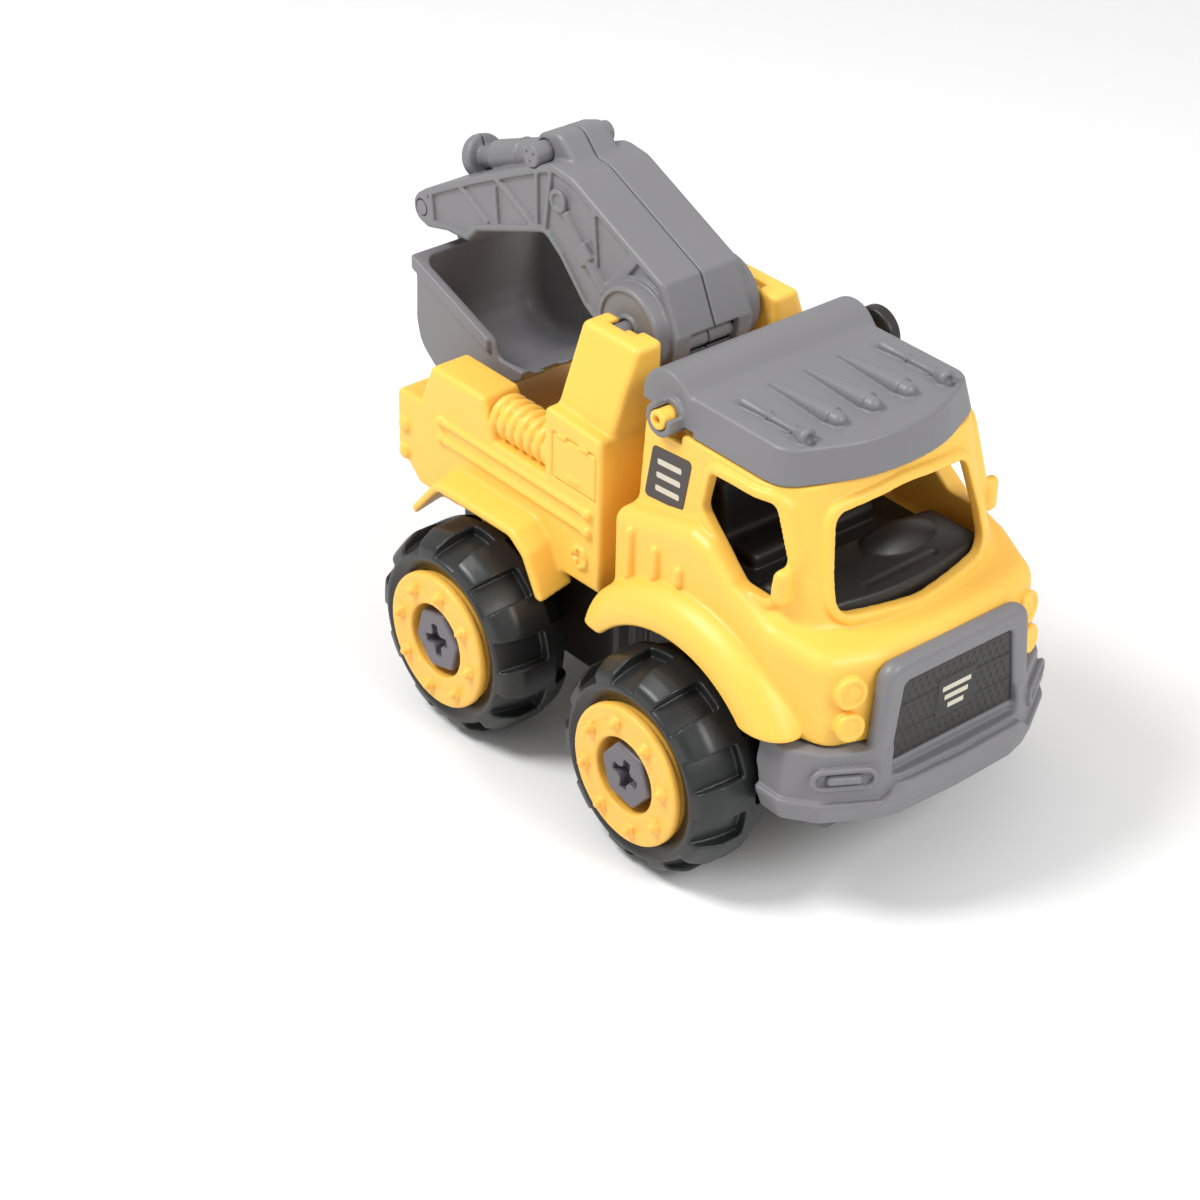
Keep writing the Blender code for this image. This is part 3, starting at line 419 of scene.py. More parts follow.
CAB_PLAN = mirrored_rounded(
    [(1.5, 38.5, 2), (57.0, 38.5, 12), (71.4, 34.0, 7), (76.1, 20.0, 22), (76.9, 0.0, 0)]
)
CAB_TOP = rounded([
    (-20.0, 70.4, 0), (27.5, 80.5, 4), (34.0, 79.0, 5), (44.5, 71.8, 8), (54.0, 67.8, 10),
    (66.0, 64.9, 12), (95.0, 61.4, 0), (95.0, 20.0, 0), (-20.0, 20.0, 0),
])
SIDE_WINDOW = rounded(
    [(27.4, 84.3, 3), (42.4, 71.6, 4), (51.0, 71.6, 2), (53.4, 82.0, 2), (48.7, 94.6, 3), (29.0, 94.2, 1.5)]
)
WINDSCREEN = rounded(
    [(-23.9, 68.6, 4.5), (0.0, 66.2, 30), (23.9, 68.6, 4.5), (23.2, 78.0, 12)]
    + [(20.6, 91.6, 4), (0.0, 93.4, 30), (-20.6, 91.6, 4), (-23.2, 78.0, 12)]
)


def lower_cab(x, y, z):
    """The wide body under the cabin, whose nose leans back."""
    lean = 0.06 * (z - 41.0) * np.clip((x - 40.0) / 25.0, 0.0, 1.0)
    plan = outline_distance(x + lean, y, CAB_PLAN)
    return round_max(outline_distance(x, z, CAB_TOP), plan, 4.2)


def window_lip(plane, outline):
    """A raised rim round an opening in the cabin's wall."""
    first, second, _ = PLANE_AXES[plane]

    def distance(*xyz):
        walls = cabin(*xyz)
        around = outline_distance(xyz[first], xyz[second], outline) - 2.5
        return np.maximum(round_max(around, walls - 1.5, 1.1), -(walls + 1.4))

    (u0, v0), (u1, v1) = reach(outline)
    if plane == "YZ":
        return distance, ((48.0, u0 - 3, v0 - 3), (71.0, u1 + 3, v1 + 3))
    return distance, ((u0 - 3, 26.0, v0 - 3), (u1 + 3, 37.0, v1 + 3))


def bolt_posts(form, places, top):
    """Hollow posts that the body bolts go into from below."""
    for x in places:
        form.add(rod((x, 0, POST_BASE_Z), (x, 0, top), POST_R, 0.3), blend=0.8)
        form.cut(rod((x, 0, 10.0), (x, 0, 36.0), BOLT_HOLE_R, 0.1))


def headlight(form, centre, size):
    """A boss with a raised rim, an inner ring and a small dome."""
    centre, facing = np.array(centre), np.array((0.95, 0.30, 0.08))
    front = centre + facing * 0.2
    form.add(rod(centre - facing * 6, front, size + 0.6, 0.5), blend=0.4)
    form.add(ring(front, facing, size, 0.85), ring(front, facing, 1.7, 0.4))
    form.add(ball(centre + facing * 0.1, 1.4, (0.6, 1.0, 1.0)), blend=0.3)


def cab_shell():
    form = Form((-1.0, 82.0), (0.0, 48.0), (12.0, 108.0), 0.45)
    everywhere = ((-5, 0, 0), (90, 60, 120))

    def upper(x, y, z):
        return np.maximum(np.maximum(cabin(x, y, z), z - 98.2), 60.0 - z)

    form.add((lambda x, y, z: round_max(lower_cab(x, y, z), 45.58 - 0.056 * x - z, 0.5), everywhere))
    form.add((upper, everywhere), blend=2.2)
    form.add(window_lip("XZ", SIDE_WINDOW), window_lip("YZ", WINDSCREEN), blend=0.5)
    form.cut((lambda x, y, z: np.maximum(lower_cab(x, y, z) + 2.0, z - 60.0), everywhere))
    form.cut((lambda x, y, z: np.maximum(cabin(x, y, z) + CABIN_WALL, 62.0 - z), everywhere))
    form.cut(rod_y((FRONT_AXLE, AXLE_Z), (30.8, 50.0), 34.4, 0.2))
    guard = arc((34.6, 37.8), (8.0, 7.7), 0, 90, 12)
    guard += [(33.4, 45.5), (32.9, 45.1), (32.9, 43.9), (33.4, 43.5)]
    guard += arc((34.6, 37.8), (5.6, 5.7), 90, 0, 12) + [(40.2, 36.3), (42.6, 36.3)]
    skirt, box = spun(FRONT_AXLE, AXLE_Z, guard)
    form.add((lambda x, y, z: round_max(skirt(x, y, z), 42.6 - z, 1.2), box), blend=1.2)
    for x, low, high in ((8.0, 57.5, 72.2), (17.0, 61.5, 71.2), (25.3, 64.0, 69.6)):
        form.add(rod((x, 38.7, low), (x, 38.4, high), 1.6, 1.6), blend=0.25)
    headlight(form, (73.4, 28.8, 55.8), 3.3)
    headlight(form, (74.3, 29.3, 47.2), 2.85)
    form.add(block((51.6, 55.8), (30.8, 35.4), (71.6, 80.8), 1.7), blend=0.4)
    form.cut(plate("XZ", SIDE_WINDOW, 20.0, 45.0, 0), blend=0.8)
    form.cut(plate("YZ", WINDSCREEN, 50.0, 80.0, 0), blend=0.8)
    form.cut(block((7.0, 17.4), (28.2, 45.0), (95.9, 110.0), 0.2))
    form.cut(block((0.0, 9.0), (-30.4, 30.4), (86.2, 110.0), 0.5))
    form.add(block((10.2, 14.2), (26.0, 32.6), (79.0, 85.0)))
    form.add(block((10.4, 14.0), (26.2, 28.1), (82.0, 102.6)))
    form.add(rod_y(ROOF_PIN, (27.0, 35.5), 2.45, 0.3))
    form.cut(rod_y(ROOF_PIN, (32.5, 37.0), 1.0))
    bolt_posts(form, CAB_BOLTS, 61.0)
    return form


piece("cab_moulding", cab_shell(), YELLOW, "truck", "cab_shell")


def side_label(side):
    """A dark printed panel on the cabin's rear corner, with plain bars on it."""
    outline = rounded([(8.2, 92.0, 1.2), (21.6, 93.1, 1.2), (20.0, 79.6, 1.2), (6.7, 78.4, 1.2)])
    bar = ((10.4, 0.0), (18.6, 0.6), (18.4, 2.0), (10.2, 1.4))
    marks = [rounded([(x, base + rise, 0.4) for x, rise in bar]) for base in (88.0, 84.6, 81.2)]
    for name, shapes, proud, material in (
        ("side_label", [outline], 0.16, LABEL),
        ("side_label_marks", marks, 0.24, LABEL_MARK),
    ):
        points, faces = [], []
        for shape in shapes:
            first, count = len(points), len(shape)
            for depth in (-0.3, proud):
                points += [(x, side * (side_of_cabin(z) + depth), z) for x, z in shape]
            faces += [tuple(range(first, first + count)), tuple(range(first + count, first + 2 * count))]
            for i in range(count):
                j = (i + 1) % count
                faces.append((first + i, first + j, first + count + j, first + count + i))
        mesh = bpy.data.meshes.new(name)
        mesh.from_pydata([tuple((np.array(p) + ORIGIN) * MM) for p in points], [], faces)
        outward(mesh)
        piece(f"{name}_{'left' if side > 0 else 'right'}", mesh, material, "truck")


def outward(mesh):
    """Turns every face of a closed mesh outwards."""
    bm = bmesh.new()
    bm.from_mesh(mesh)
    bmesh.ops.recalc_face_normals(bm, faces=bm.faces)
    bm.to_mesh(mesh)
    bm.free()


for label_side in (-1, 1):
    side_label(label_side)


def grille_mark():
    """Three plain printed bars in the middle of the grille plate."""
    mesh = bpy.data.meshes.new("grille_mark")
    bm = bmesh.new()
    for z, half in ((44.4, 2.6), (46.9, 3.8), (49.4, 4.6)):
        made = bmesh.ops.create_cube(bm, size=1.0)["verts"]
        bmesh.ops.scale(bm, verts=made, vec=(0.4, 2 * half, 1.3))
        bmesh.ops.translate(bm, verts=made, vec=(79.0, 0.0, z))
    bm.to_mesh(mesh)
    bm.free()
    mesh.transform(Matrix.Scale(MM, 4) @ Matrix.Translation(ORIGIN))
    piece("grille_mark", mesh, LABEL_MARK, "truck")


grille_mark()


def dashboard():
    """The dashboard: a sloping top with a slot, and an instrument hood in front of the driver."""
    form = Form((36.0, 64.0), (-29.0, 29.0), (61.0, 77.0), 0.4, mirrored=False)
    slope = [(38.0, 62.3, 0.5), (61.8, 62.3, 0.5), (62.8, 68.6, 1.5), (51.0, 71.6, 3)]
    slope += [(43.0, 71.0, 3), (40.0, 66.0, 3)]
    top, box = plate("XZ", rounded(slope), -28.0, 28.0, 1.5)

    def crowned(x, y, z):
        inside = round_max(top(x, y, z), cabin(x, y, z) + 2.3, 0.4)
        return round_max(inside, z - 72.4 + y * y / 190.0, 1.5)

    form.add((crowned, box))
    form.add(ball((49.0, 8.0, 61.5), 17.5, (0.48, 1.0, 0.74)), blend=0.2)
    form.cut(rod((58.4, -12.0, 70.9), (57.9, 13.0, 70.6), 1.3, 1.3), blend=0.2)
    return form


def driver_seat():
    """The seat, with the dark floor that it is moulded with, and a dark rear panel that is painted shade
    standing in for the shadow on the cabin's yellow rear wall.
    """
    form = Form((5.5, 46.5), (0.0, 30.0), (61.0, 86.5), 0.5)
    form.add(block((7.0, 45.0), (-28.6, 28.6), (62.2, 63.6), 0.4))
    # Painted shade: a black sheet in front of the cabin's yellow rear wall, standing in for the shadow that
    # falls on that wall
    form.add(block((6.6, 8.4), (-28.6, 28.6), (62.2, 85.0), 0.4))
    outline = [(14.0, 62.3, 0.5), (31.0, 62.3, 0.5), (31.0, 68.0, 2.5)]
    outline += [(20.5, 67.0, 2), (18.4, 82.0, 2), (13.5, 82.0, 1.5)]
    form.add(plate("XZ", rounded(outline), -20.0, 20.0, 1.6))
    form.cut(block((16.0, 33.0), (-0.8, 0.8), (66.5, 84.0), 0.4), blend=0.8)
    return form


piece("dashboard_moulding", dashboard(), BLACK, "truck", "dashboard")
# The seat piece also carries the black rear panel, which is painted shade on the cabin's rear wall
piece("seat_and_painted_shade_panel", driver_seat(), BLACK, "truck", "driver_seat")


# Roof

ROOF_PLAN = mirrored_rounded([(12.0, 31.3, 0), (49.4, 31.3, 8), (58.2, 12.0, 40), (59.0, 0.0, 0)])


def horn(form, y):
    """A slim trumpet lying on the roof."""
    z = 107.7
    forward = (1, 0, 0)
    form.add(rod((26.5, y, z), (33.5, y, z), 1.45, 0.2, 0.75), blend=0.3)
    form.add(rod((33.0, y, z), (44.0, y, z), 0.85, 0.2), blend=0.2)
    form.add(ring((35.2, y, z), forward, 1.1, 0.35), ring((36.2, y, z), forward, 1.0, 0.3))
    form.add(ring((43.2, y, z), forward, 1.2, 0.35), blend=0.2)
    form.add(rod((43.6, y, z), (47.2, y, z), 1.0, 0.3, 2.4), blend=0.2)
    form.add(rod((46.8, y, z), (48.4, y, z), 2.5, 0.6), blend=0.3)
    form.cut(ball((49.0, y, z), 1.4))


def roof_rib(form, y):
    """A long tapering blister with a collar and a rounded end."""
    z = 107.6
    form.add(rod((24.0, y, z - 0.3), (44.6, y, z), 0.8, 0.1, 2.8), blend=0.1)
    form.add(rod((43.0, y, z), (45.9, y, z), 2.2, 0.1), ball((45.9, y, z), 2.2), blend=0.05)


def cab_roof():
    """The lid with its rolled rear edge and the clips that hold the cab's pins."""
    form = Form((-1.0, 61.0), (0.0, 37.0), (94.0, 114.0), 0.35)
    everywhere = ((-5, 0, 90), (70, 40, 120))

    def walls(x, y, z):
        return outline_distance(x, y, ROOF_PLAN) + 0.27 * (z - 98.5)

    def lid(x, y, z):
        return round_max(round_max(walls(x, y, z) * 0.965, z - 107.0, 0.8), 98.5 - z, 0.3)

    def hollow(x, y, z):
        return np.maximum(walls(x, y, z) + 1.7, z - 105.0)

    form.add((lid, everywhere))
    roll, box = rod_y(ROOF_ROLL, (-29.9, 29.9), 8.2, 0.6)
    form.add((lambda x, y, z: np.maximum(roll(x, y, z), 100.6 - z), box), blend=1.6)
    form.cut((hollow, ((13.0, 0, 90), (70, 40, 120))))
    form.cut(rod_y(ROOF_ROLL, (-29.0, 29.0), 6.5, 0.3))
    form.cut(block((2.7, 15.7), (-29.0, 29.0), (90.0, 102.5), 0.2))
    form.cut(block((0.0, 20.0), (-40.0, 40.0), (90.0, 99.6), 0.2))
    form.add(rod_y(ROOF_PIN, (28.4, 34.9), 4.4, 0.4), blend=0.6)
    form.cut(rod_y(ROOF_PIN, (25.0, 40.0), 2.7))
    form.cut(plate("XZ", [(12.2, 101.6), (20.0, 102.6), (20.0, 109.0), (9.0, 109.0)], 31.4, 36.0, 0))
    for y in (0.0, 11.0):
        roof_rib(form, y)
    horn(form, 22.0)
    return form


piece("roof_moulding", cab_roof(), GREY, "roof", "cab_roof")


def hinge_knob():
    """A round knob with a groove in its face, on the far end of the roof's pin."""
    form = Form((4.0, 20.5), (32.0, 38.5), (93.0, 109.0), 0.25, mirrored=False)
    form.add(rod_y(ROOF_PIN, (33.0, 36.6), 6.8, 0.8))
    form.cut(rod_y(ROOF_PIN, (30.0, 45.0), 2.7))
    form.cut(ring(in_plane(ROOF_PIN, 36.6), (0, 1, 0), 4.8, 0.4))
    return form


piece("knob_moulding", hinge_knob(), BLACK, "truck", "hinge_knob_left")


# Bumper and grille

BUMPER_PLAN = mirrored_rounded(
    [(56.0, 41.5, 1), (66.0, 41.5, 3), (73.2, 36.2, 2), (80.4, 24.2, 1.2), (82.0, 18.0, 2), (82.6, 0.0, 0)]
)
BUMPER_BACK = mirrored_rounded([(50.0, 38.8, 0), (64.5, 38.8, 3), (74.0, 25.0, 3)])


def front_bumper():
    """The bumper with its lower lip, the grille's surround and a long raised mark at each end."""
    form = Form((48.0, 85.0), (0.0, 44.0), (20.0, 65.0), 0.4)
    everywhere = ((50, 0, 22), (84, 43, 41))

    def bar(x, y, z):
        lean = np.where(z < 26.8, 0.36 * (26.8 - z), 0.075 * (z - 26.8))
        walls = outline_distance(x, y, BUMPER_PLAN) + lean
        return round_max(round_max(walls, z - 41.0, 0.9), 22.0 - z, 0.6)

    def lip(x, y, z):
        walls = outline_distance(x, y, BUMPER_PLAN) - 1.3 + 0.34 * np.maximum(27.0 - z, 0.0)
        top = z - 28.4 - 3.8 * np.clip((24.0 - np.abs(y)) / 4.5, 0.0, 1.0)
        return round_max(round_max(walls, top, 0.5), 22.0 - z, 0.6)

    form.add((bar, everywhere))
    recess = [(78.9, -19.2), (92.0, -31.0), (92.0, 31.0), (78.9, 19.2)]
    form.cut(plate("XY", recess, 33.5, 60.0, 0.3), blend=0.6)
    form.add((lip, everywhere), blend=0.2)
    form.cut(plate("XY", BUMPER_BACK, 24.0, 39.4, 0.2))
    form.cut(rod_y((FRONT_AXLE, AXLE_Z), (-60, 60), 29.2))
    surround = rounded([(-25.5, 38.0, 0), (25.5, 38.0, 0), (23.0, 62.5, 5), (-23.0, 62.5, 5)])
    form.add(plate("YZ", surround, 74.6, 79.5, 2.2), blend=0.8)
    opening = rounded([(-20.2, 35.8, 0.5), (20.2, 35.8, 0.5), (17.4, 57.0, 1.5), (-17.4, 57.0, 1.5)])
    form.cut(plate("YZ", opening, 77.6, 85.0, 0), blend=1.0)
    inner, outer = np.array((78.6, 27.3, 34.6)), np.array((73.4, 35.9, 34.6))
    along, length = unit(inner, outer), np.linalg.norm(outer - inner)
    face = np.array((along[1], -along[0], 0.0))

    def pill(x, y, z):
        away = [x - inner[0], y - inner[1], z - inner[2]]
        t = np.clip(sum(a * n for a, n in zip(away, along)), 0.0, length)
        depth = sum(a * n for a, n in zip(away, face))
        flat = np.sqrt(np.maximum(sum((a - n * t) ** 2 for a, n in zip(away, along)) - depth**2, 0.0))
        return np.sqrt((flat - 2.4) ** 2 + depth**2) - 0.75

    form.add((pill, (np.minimum(inner, outer) - 4, np.maximum(inner, outer) + 4)), blend=0.3)
    form.add(rod(inner + along * 0.8, outer - along * 0.8, 1.25, 1.0), blend=0.1)
    middle = (inner + outer) / 2 + face * 1.3
    form.cut(rod(middle - (0, 0, 2), middle + (0, 0, 2), 0.35, 0.0))
    x, y = BUMPER_BOLT
    form.add(block((x - 6, x + 12), (y - 5, y + 5), (22.0, 32.0), 0.3))
    form.cut(rod((x, y, 20.0), (x, y, 31.0), BOLT_HOLE_R, 0.1))
    return form


def grille_plate():
    """A flat plate with a raised tread pattern, two grooves across it and a plain badge."""
    form = Form((77.4, 80.2), (0.0, 20.5), (35.5, 57.4), 0.2)
    edge = [(-19.9, 36.1), (19.9, 36.1), (17.1, 56.7), (-17.1, 56.7)]
    form.add(plate("YZ", edge, 77.9, 78.8, 0.2))

    def studs(x, y, z):
        pitch = 2.2
        u, v = (np.abs(a / pitch - np.round(a / pitch)) * pitch for a in (y + 0.5 * z, y - 0.5 * z))
        bumps = np.sqrt(u * u + v * v + (2.0 * (x - 78.75)) ** 2) - 0.62
        return np.maximum(bumps, outline_distance(y, z, edge) + 1.0)

    form.add((studs, ((78.0, 0, 36), (79.8, 20, 57))))
    for z in (43.2, 50.6):
        form.cut(block((78.62, 82.0), (-25.0, 25.0), (z - 0.25, z + 0.25), 0.0))
    badge = rounded([(-6.4, 41.4, 0.4), (6.4, 41.4, 0.4), (6.0, 52.4, 0.4), (-6.0, 52.4, 0.4)])
    form.cut(plate("YZ", badge, 78.8, 81.0, 0))
    form.add(plate("YZ", badge, 78.0, 79.1, 0.15))
    return form


piece("bumper_moulding", front_bumper(), GREY, "truck", "front_bumper")
piece("grille_moulding", grille_plate(), BLACK, "truck", "grille_plate")


# Rear body

BODY_SIDE = rounded([
    (-77.0, 43.5, 2), (-5.2, 45.5, 0.5), (-5.2, 87.5, 2), (-26.5, 88.5, 1.5),
    (-26.5, 69.5, 0.5), (-46.0, 69.5, 1), (-50.6, 80.0, 1.6), (-71.4, 80.0, 1.6),
    (-76.2, 68.0, 1), (-86.0, 68.0, 1.8), (-86.0, 51.5, 2),
])
REAR_GUARD = rounded([
    (-70.3, 42.6, 0.5), (-68.6, 41.2, 0.5), (-59.0, 52.0, 3), (-30.4, 52.8, 4),
    (-25.4, 49.4, 4), (-20.0, 39.8, 0.5), (-17.3, 39.8, 0.5), (-23.4, 51.0, 5),
    (-28.9, 55.1, 5), (-60.2, 54.4, 5),
])


def coil(x, y, z):
    """A spring lying along the body: a helix round an axis."""
    pitch, across, up = 3.4, np.abs(y) - 31.0, z - 74.8
    along = x / pitch - np.arctan2(up, across) / math.tau
    along = (along - np.round(along)) * pitch
    out = np.sqrt(across**2 + up**2)
    wire = np.sqrt((out - 4.15) ** 2 + along**2) - 1.7
    core = np.abs(out) - 4.4
    return np.maximum(np.minimum(wire, core), np.abs(x + 36.5) - 11.5)


def body_rail(form, z):
    """A round rail along the body's side, with a thicker end and a collar at the front and the rear."""
    form.add(rod((-68.5, 37.2, z), (-7.6, 37.2, z), 0.95, 0.5), blend=0.2)
    for x, start, end in ((-68.4, 3.3, 4.0), (-10.8, -0.6, 0.2)):
        form.add(rod((x, 37.1, z), (x + 2.9, 37.1, z), 1.55, 1.0), blend=0.3)
        form.add(rod((x + start, 37.0, z), (x + end, 37.0, z), 1.15, 0.3), blend=0.3)


def body_hatch(form):
    """A hatch outlined by a groove, with two hinges and a handle."""
    panel = rounded([(-23.3, 70.5, 0.8), (-6.9, 70.5, 0.8), (-6.9, 83.0, 0.8), (-23.3, 83.0, 0.8)])

    def groove(x, y, z):
        return np.maximum(np.abs(outline_distance(x, z, panel)) - 0.28, 36.45 - y)

    form.cut((groove, ((-25, 36, 69), (-5, 38, 85))))
    for x in (-19.6, -11.4):
        form.add(rod((x - 1.6, 37.0, 83.0), (x + 1.6, 37.0, 83.0), 0.55, 0.3), blend=0.2)
    form.add(block((-17.2, -12.8), (36.5, 37.35), (72.2, 73.6), 0.3), blend=0.2)


def body_screw(form):
    """A moulded round head with a cross slot, low on the body's side."""
    form.add(rod_y((-12.0, 53.0), (36.0, 37.9), 3.1, 0.4), blend=0.25)
    form.cut(block((-14.3, -9.7), (37.0, 39.0), (52.35, 53.65), 0.2))
    form.cut(block((-12.65, -11.35), (37.0, 39.0), (50.7, 55.3), 0.2))


def rear_body():
    form = Form((-88.0, -4.0), (0.0, 46.5), (13.0, 110.0), 0.45)
    form.add(plate("XZ", BODY_SIDE, -37.0, 37.0, 1.3))
    tower = rounded([(17.7, 76.0, 0), (17.7, 108.2, 1.2), (25.7, 108.2, 2), (33.0, 88.5, 1), (33.0, 76.0, 0)])
    form.add(plate("YZ", tower, -26.4, -5.8, 1.8), blend=1.0)
    form.cut(block((-100.0, -28.0), (-25.3, 25.3), (58.0, 120.0), 0.8), blend=0.8)
    form.cut(block((-40.0, 5.0), (-17.7, 17.7), (80.0, 120.0), 0.3))
    form.cut(block((-21.5, -12.6), (10.0, 21.4), (106.4, 115.0), 0.5), blend=0.5)
    form.cut(block((-76.0, -7.2), (-35.0, 35.0), (20.0, 56.0), 0.5))
    form.cut(block((-24.5, -7.2), (-16.0, 16.0), (40.0, 76.0), 0.5))
    form.add((coil, ((-50, 24, 68), (-24, 37.2, 81))), blend=0.3)
    form.cut(block((-69.0, -52.0), (27.3, 34.6), (40.0, 77.0), 0.5))
    form.cut(block((-76.0, -28.0), (27.3, 34.6), (40.0, 65.5), 0.5))
    guard, box = plate("XZ", REAR_GUARD, 34.5, 44.8, 0.9)
    lifted = (box[0] - np.array((1, 0, 1)), box[1] + np.array((1, 0, 4)))
    form.add((lambda x, y, z: guard(x, y, z - 0.22 * np.maximum(44.6 - y, 0.0)), lifted), blend=1.2)
    form.cut(rod_y((REAR_AXLE, AXLE_Z), (33.8, 60.0), 29.4, 0.2))
    for z in (66.5, 61.5):
        body_rail(form, z)
    body_hatch(form)
    for z in (58.6, 50.8):
        form.add(ball((-82.5, 36.9, z), 2.3, (1.0, 0.65, 1.0)), blend=0.15)
    body_screw(form)
    form.cut(rod_y(PIVOT, (-22.3, 22.3), PIVOT_R))
    for x, top in zip(REAR_BOLTS, (77.5, 57.0)):
        bolt_posts(form, [x], top)
    return form


piece("body_moulding", rear_body(), YELLOW, "truck", "rear_body")


# Boom and bucket

BOOM_SIDE = arc(PIVOT, 13.2, -110, 5, 24) + rounded([
    (-8.3, 107.6, 0), (-13.3, 118.0, 1.5), (-47.0, 133.0, 8), (-55.0, 133.9, 8),
    (-63.4, 130.2, 6), (-85.6, 119.5, 8), (-106.8, 108.2, 4), (-111.2, 104.8, 4),
    (-110.4, 99.4, 4), (-105.0, 98.0, 3), (-97.0, 100.0, 2), (-88.2, 100.4, 1),
    (-84.3, 104.6, 1.5), (-57.5, 114.6, 3), (-51.5, 110.4, 3), (-42.0, 100.9, 3),
    (-36.0, 97.5, 2), (-28.0, 93.5, 0),
])[1:-1]
KNEE_BLOCK = rounded(
    [(-49.2, 126.0, 0), (-51.4, 133.0, 2), (-58.0, 139.6, 4)]
    + [(-65.5, 137.0, 3), (-70.0, 130.5, 3), (-71.0, 122.0, 0)]
)
RELIEF_BARS = [  # pairs of points on the boom's side, and the bar's width
    ((-91.5, 114.8), (-80.5, 108.6), 1.5),
    ((-77.2, 119.5), (-76.0, 107.6), 1.6),
    ((-76.5, 122.0), (-62.5, 114.8), 1.6),
    ((-60.8, 130.0), (-60.4, 113.6), 1.5),
    ((-55.4, 131.0), (-57.6, 114.0), 1.5),
    ((-38.9, 127.0), (-37.6, 114.0), 1.6),
    ((-24.0, 120.0), (-32.5, 109.5), 3.0),
    ((-103.9, 110.5), (-102.4, 98.5), 1.6),
]


def segment_distance(u, v, start, end):
    """Distance to a straight line between two points of a plane."""
    eu, ev = end[0] - start[0], end[1] - start[1]
    t = np.clip(((u - start[0]) * eu + (v - start[1]) * ev) / (eu * eu + ev * ev), 0.0, 1.0)
    return np.sqrt((u - start[0] - eu * t) ** 2 + (v - start[1] - ev * t) ** 2)


def boom_relief(x, y, z):
    """The sunk panels of the boom's side, between its border and the bars of its truss."""
    panel = outline_distance(x, z, BOOM_SIDE) + 2.0
    panel = np.maximum(panel, 12.2 - np.sqrt((x - PIVOT[0]) ** 2 + (z - PIVOT[1]) ** 2))
    panel = np.maximum(panel, 4.6 - np.sqrt((x - BUCKET_PIN[0]) ** 2 + (z - BUCKET_PIN[1]) ** 2))
    for start, end, width in RELIEF_BARS:
        panel = np.maximum(panel, width / 2 - segment_distance(x, z, start, end))
    return round_max(panel, 11.45 - y, 0.15)


def boom_room(x, y, z):
    """The hollow between the boom's side walls."""
    return np.maximum(outline_distance(x, z, BOOM_SIDE) + 2.3, y - 9.6)


def boom_cylinder(form):
    """The small cylinder moulded on the boom's side, from an eye through a clamp to its rod's end."""
    eye, collar, last = (-51.9, 125.4), (-41.6, 114.9), (-33.4, 107.6)
    form.add(rod_y(eye, (10.0, 12.9), 3.1, 0.5), blend=0.2)
    form.cut(rod_y(eye, (12.3, 14.0), 1.7))
    form.add(rod(in_plane((-49.6, 123.0), 11.3), in_plane(collar, 11.3), 1.5, 0.3), blend=0.2)
    form.add(rod(in_plane(collar, 11.2), in_plane(last, 11.2), 2.0, 0.4), blend=0.2)
    along = unit(collar, last)
    across = np.array((-along[1], along[0]))
    corners = ((-1, -1), (1, -1), (1, 1), (-1, 1))
    clamp = [tuple(collar + along * s * 2.3 + across * t * 2.8) for s, t in corners]
    form.add(plate("XZ", clamp, 9.5, 13.3, 0.6))


def boom_ram(form):
    """The ram on top of the arm: barrel, neck and ring on the seam, with a hollow end."""
    step, end = np.array((-90.5, 120.1)), np.array((-98.6, 116.9))
    way = unit(step, end)
    form.add(rod((-64.0, 0, 130.4), in_plane(step, 0), 4.1, 0.3))
    form.add(rod(in_plane(step - way, 0), in_plane(end, 0), 3.0, 0.2))
    form.add(rod((-78.6, 0, 124.7), (-79.8, 0, 124.2), 4.45, 0.2))
    form.add(rod(in_plane(end - way * 3.4, 0), in_plane(end, 0), 5.9, 0.6))
    form.cut(rod(in_plane(end - way * 0.5, 0), in_plane(end + way * 3, 0), 4.6, 0.1))


def boom_half(screws):
    """One half of the boom, on its left side, with or without the screws' seats."""
    form = Form((-113.0, -5.5), (-1.0, 18.0), (91.0, 142.0), 0.35, mirrored=False)
    form.add(plate("XZ", BOOM_SIDE, -4.0, 12.3, 1.0))
    form.cut((boom_relief, ((-113, 10.8, 91), (-5, 13, 140))))
    form.add(plate("XZ", KNEE_BLOCK, -4.0, 7.4, 1.2), blend=0.8)
    form.add(rod_y(PIVOT, (8.0, 16.8), 11.0, 0.8), blend=0.5)
    form.cut(rod_y(PIVOT, (16.1, 19.0), 9.5), blend=0.3)
    form.add(rod_y(PIVOT, (14.0, 16.8), 3.9, 0.4), blend=0.3)
    boom_cylinder(form)
    form.cut((boom_room, ((-113, -5, 91), (-5, 10, 140))))
    boom_ram(form)
    for place in BOOM_SCREWS:
        form.add(rod_y(place, (-2.0, 10.8), 3.2, 0.2))
    form.add(rod_y(PIVOT, (-2.0, 12.0), 5.5, 0.2))
    form.cut(block((-12.2, 0.0), (-9.0, 7.5), (99.2, 105.6), 0.2))
    form.add(rod_y((-11.6, 101.8), (-2.0, 7.8), 2.2))
    form.cut(block((-117, 3), (-9.0, SEAM_Y), (80, 150), 0.0))
    form.add(rod_y(BUCKET_PIN, (4.0, 11.3), 4.0, 0.2))
    form.cut(block((-120.0, -94.0), (-12.0, 3.9), (80.0, 106.5), 0.6))
    form.cut(rod_y(PIVOT, (-1, 20), PIVOT_R), rod_y(BUCKET_PIN, (-1, 20), BUCKET_PIN_R))
    for place in BOOM_SCREWS:
        form.cut(rod_y(place, (-1, 20 if screws else 8.3), 1.5))
        if screws:
            form.cut(rod_y(place, (9.2, 20), 2.7), blend=0.3)
    form.cut(rod_y(KNEE, (-1, 20), 3.15))
    return form


def mirror_y(mesh, name):
    """A copy of the mesh on the truck's other side."""
    other = mesh.copy()
    other.name = name
    other.transform(Matrix.Diagonal((1.0, -1.0, 1.0, 1.0)))
    other.flip_normals()
    return other


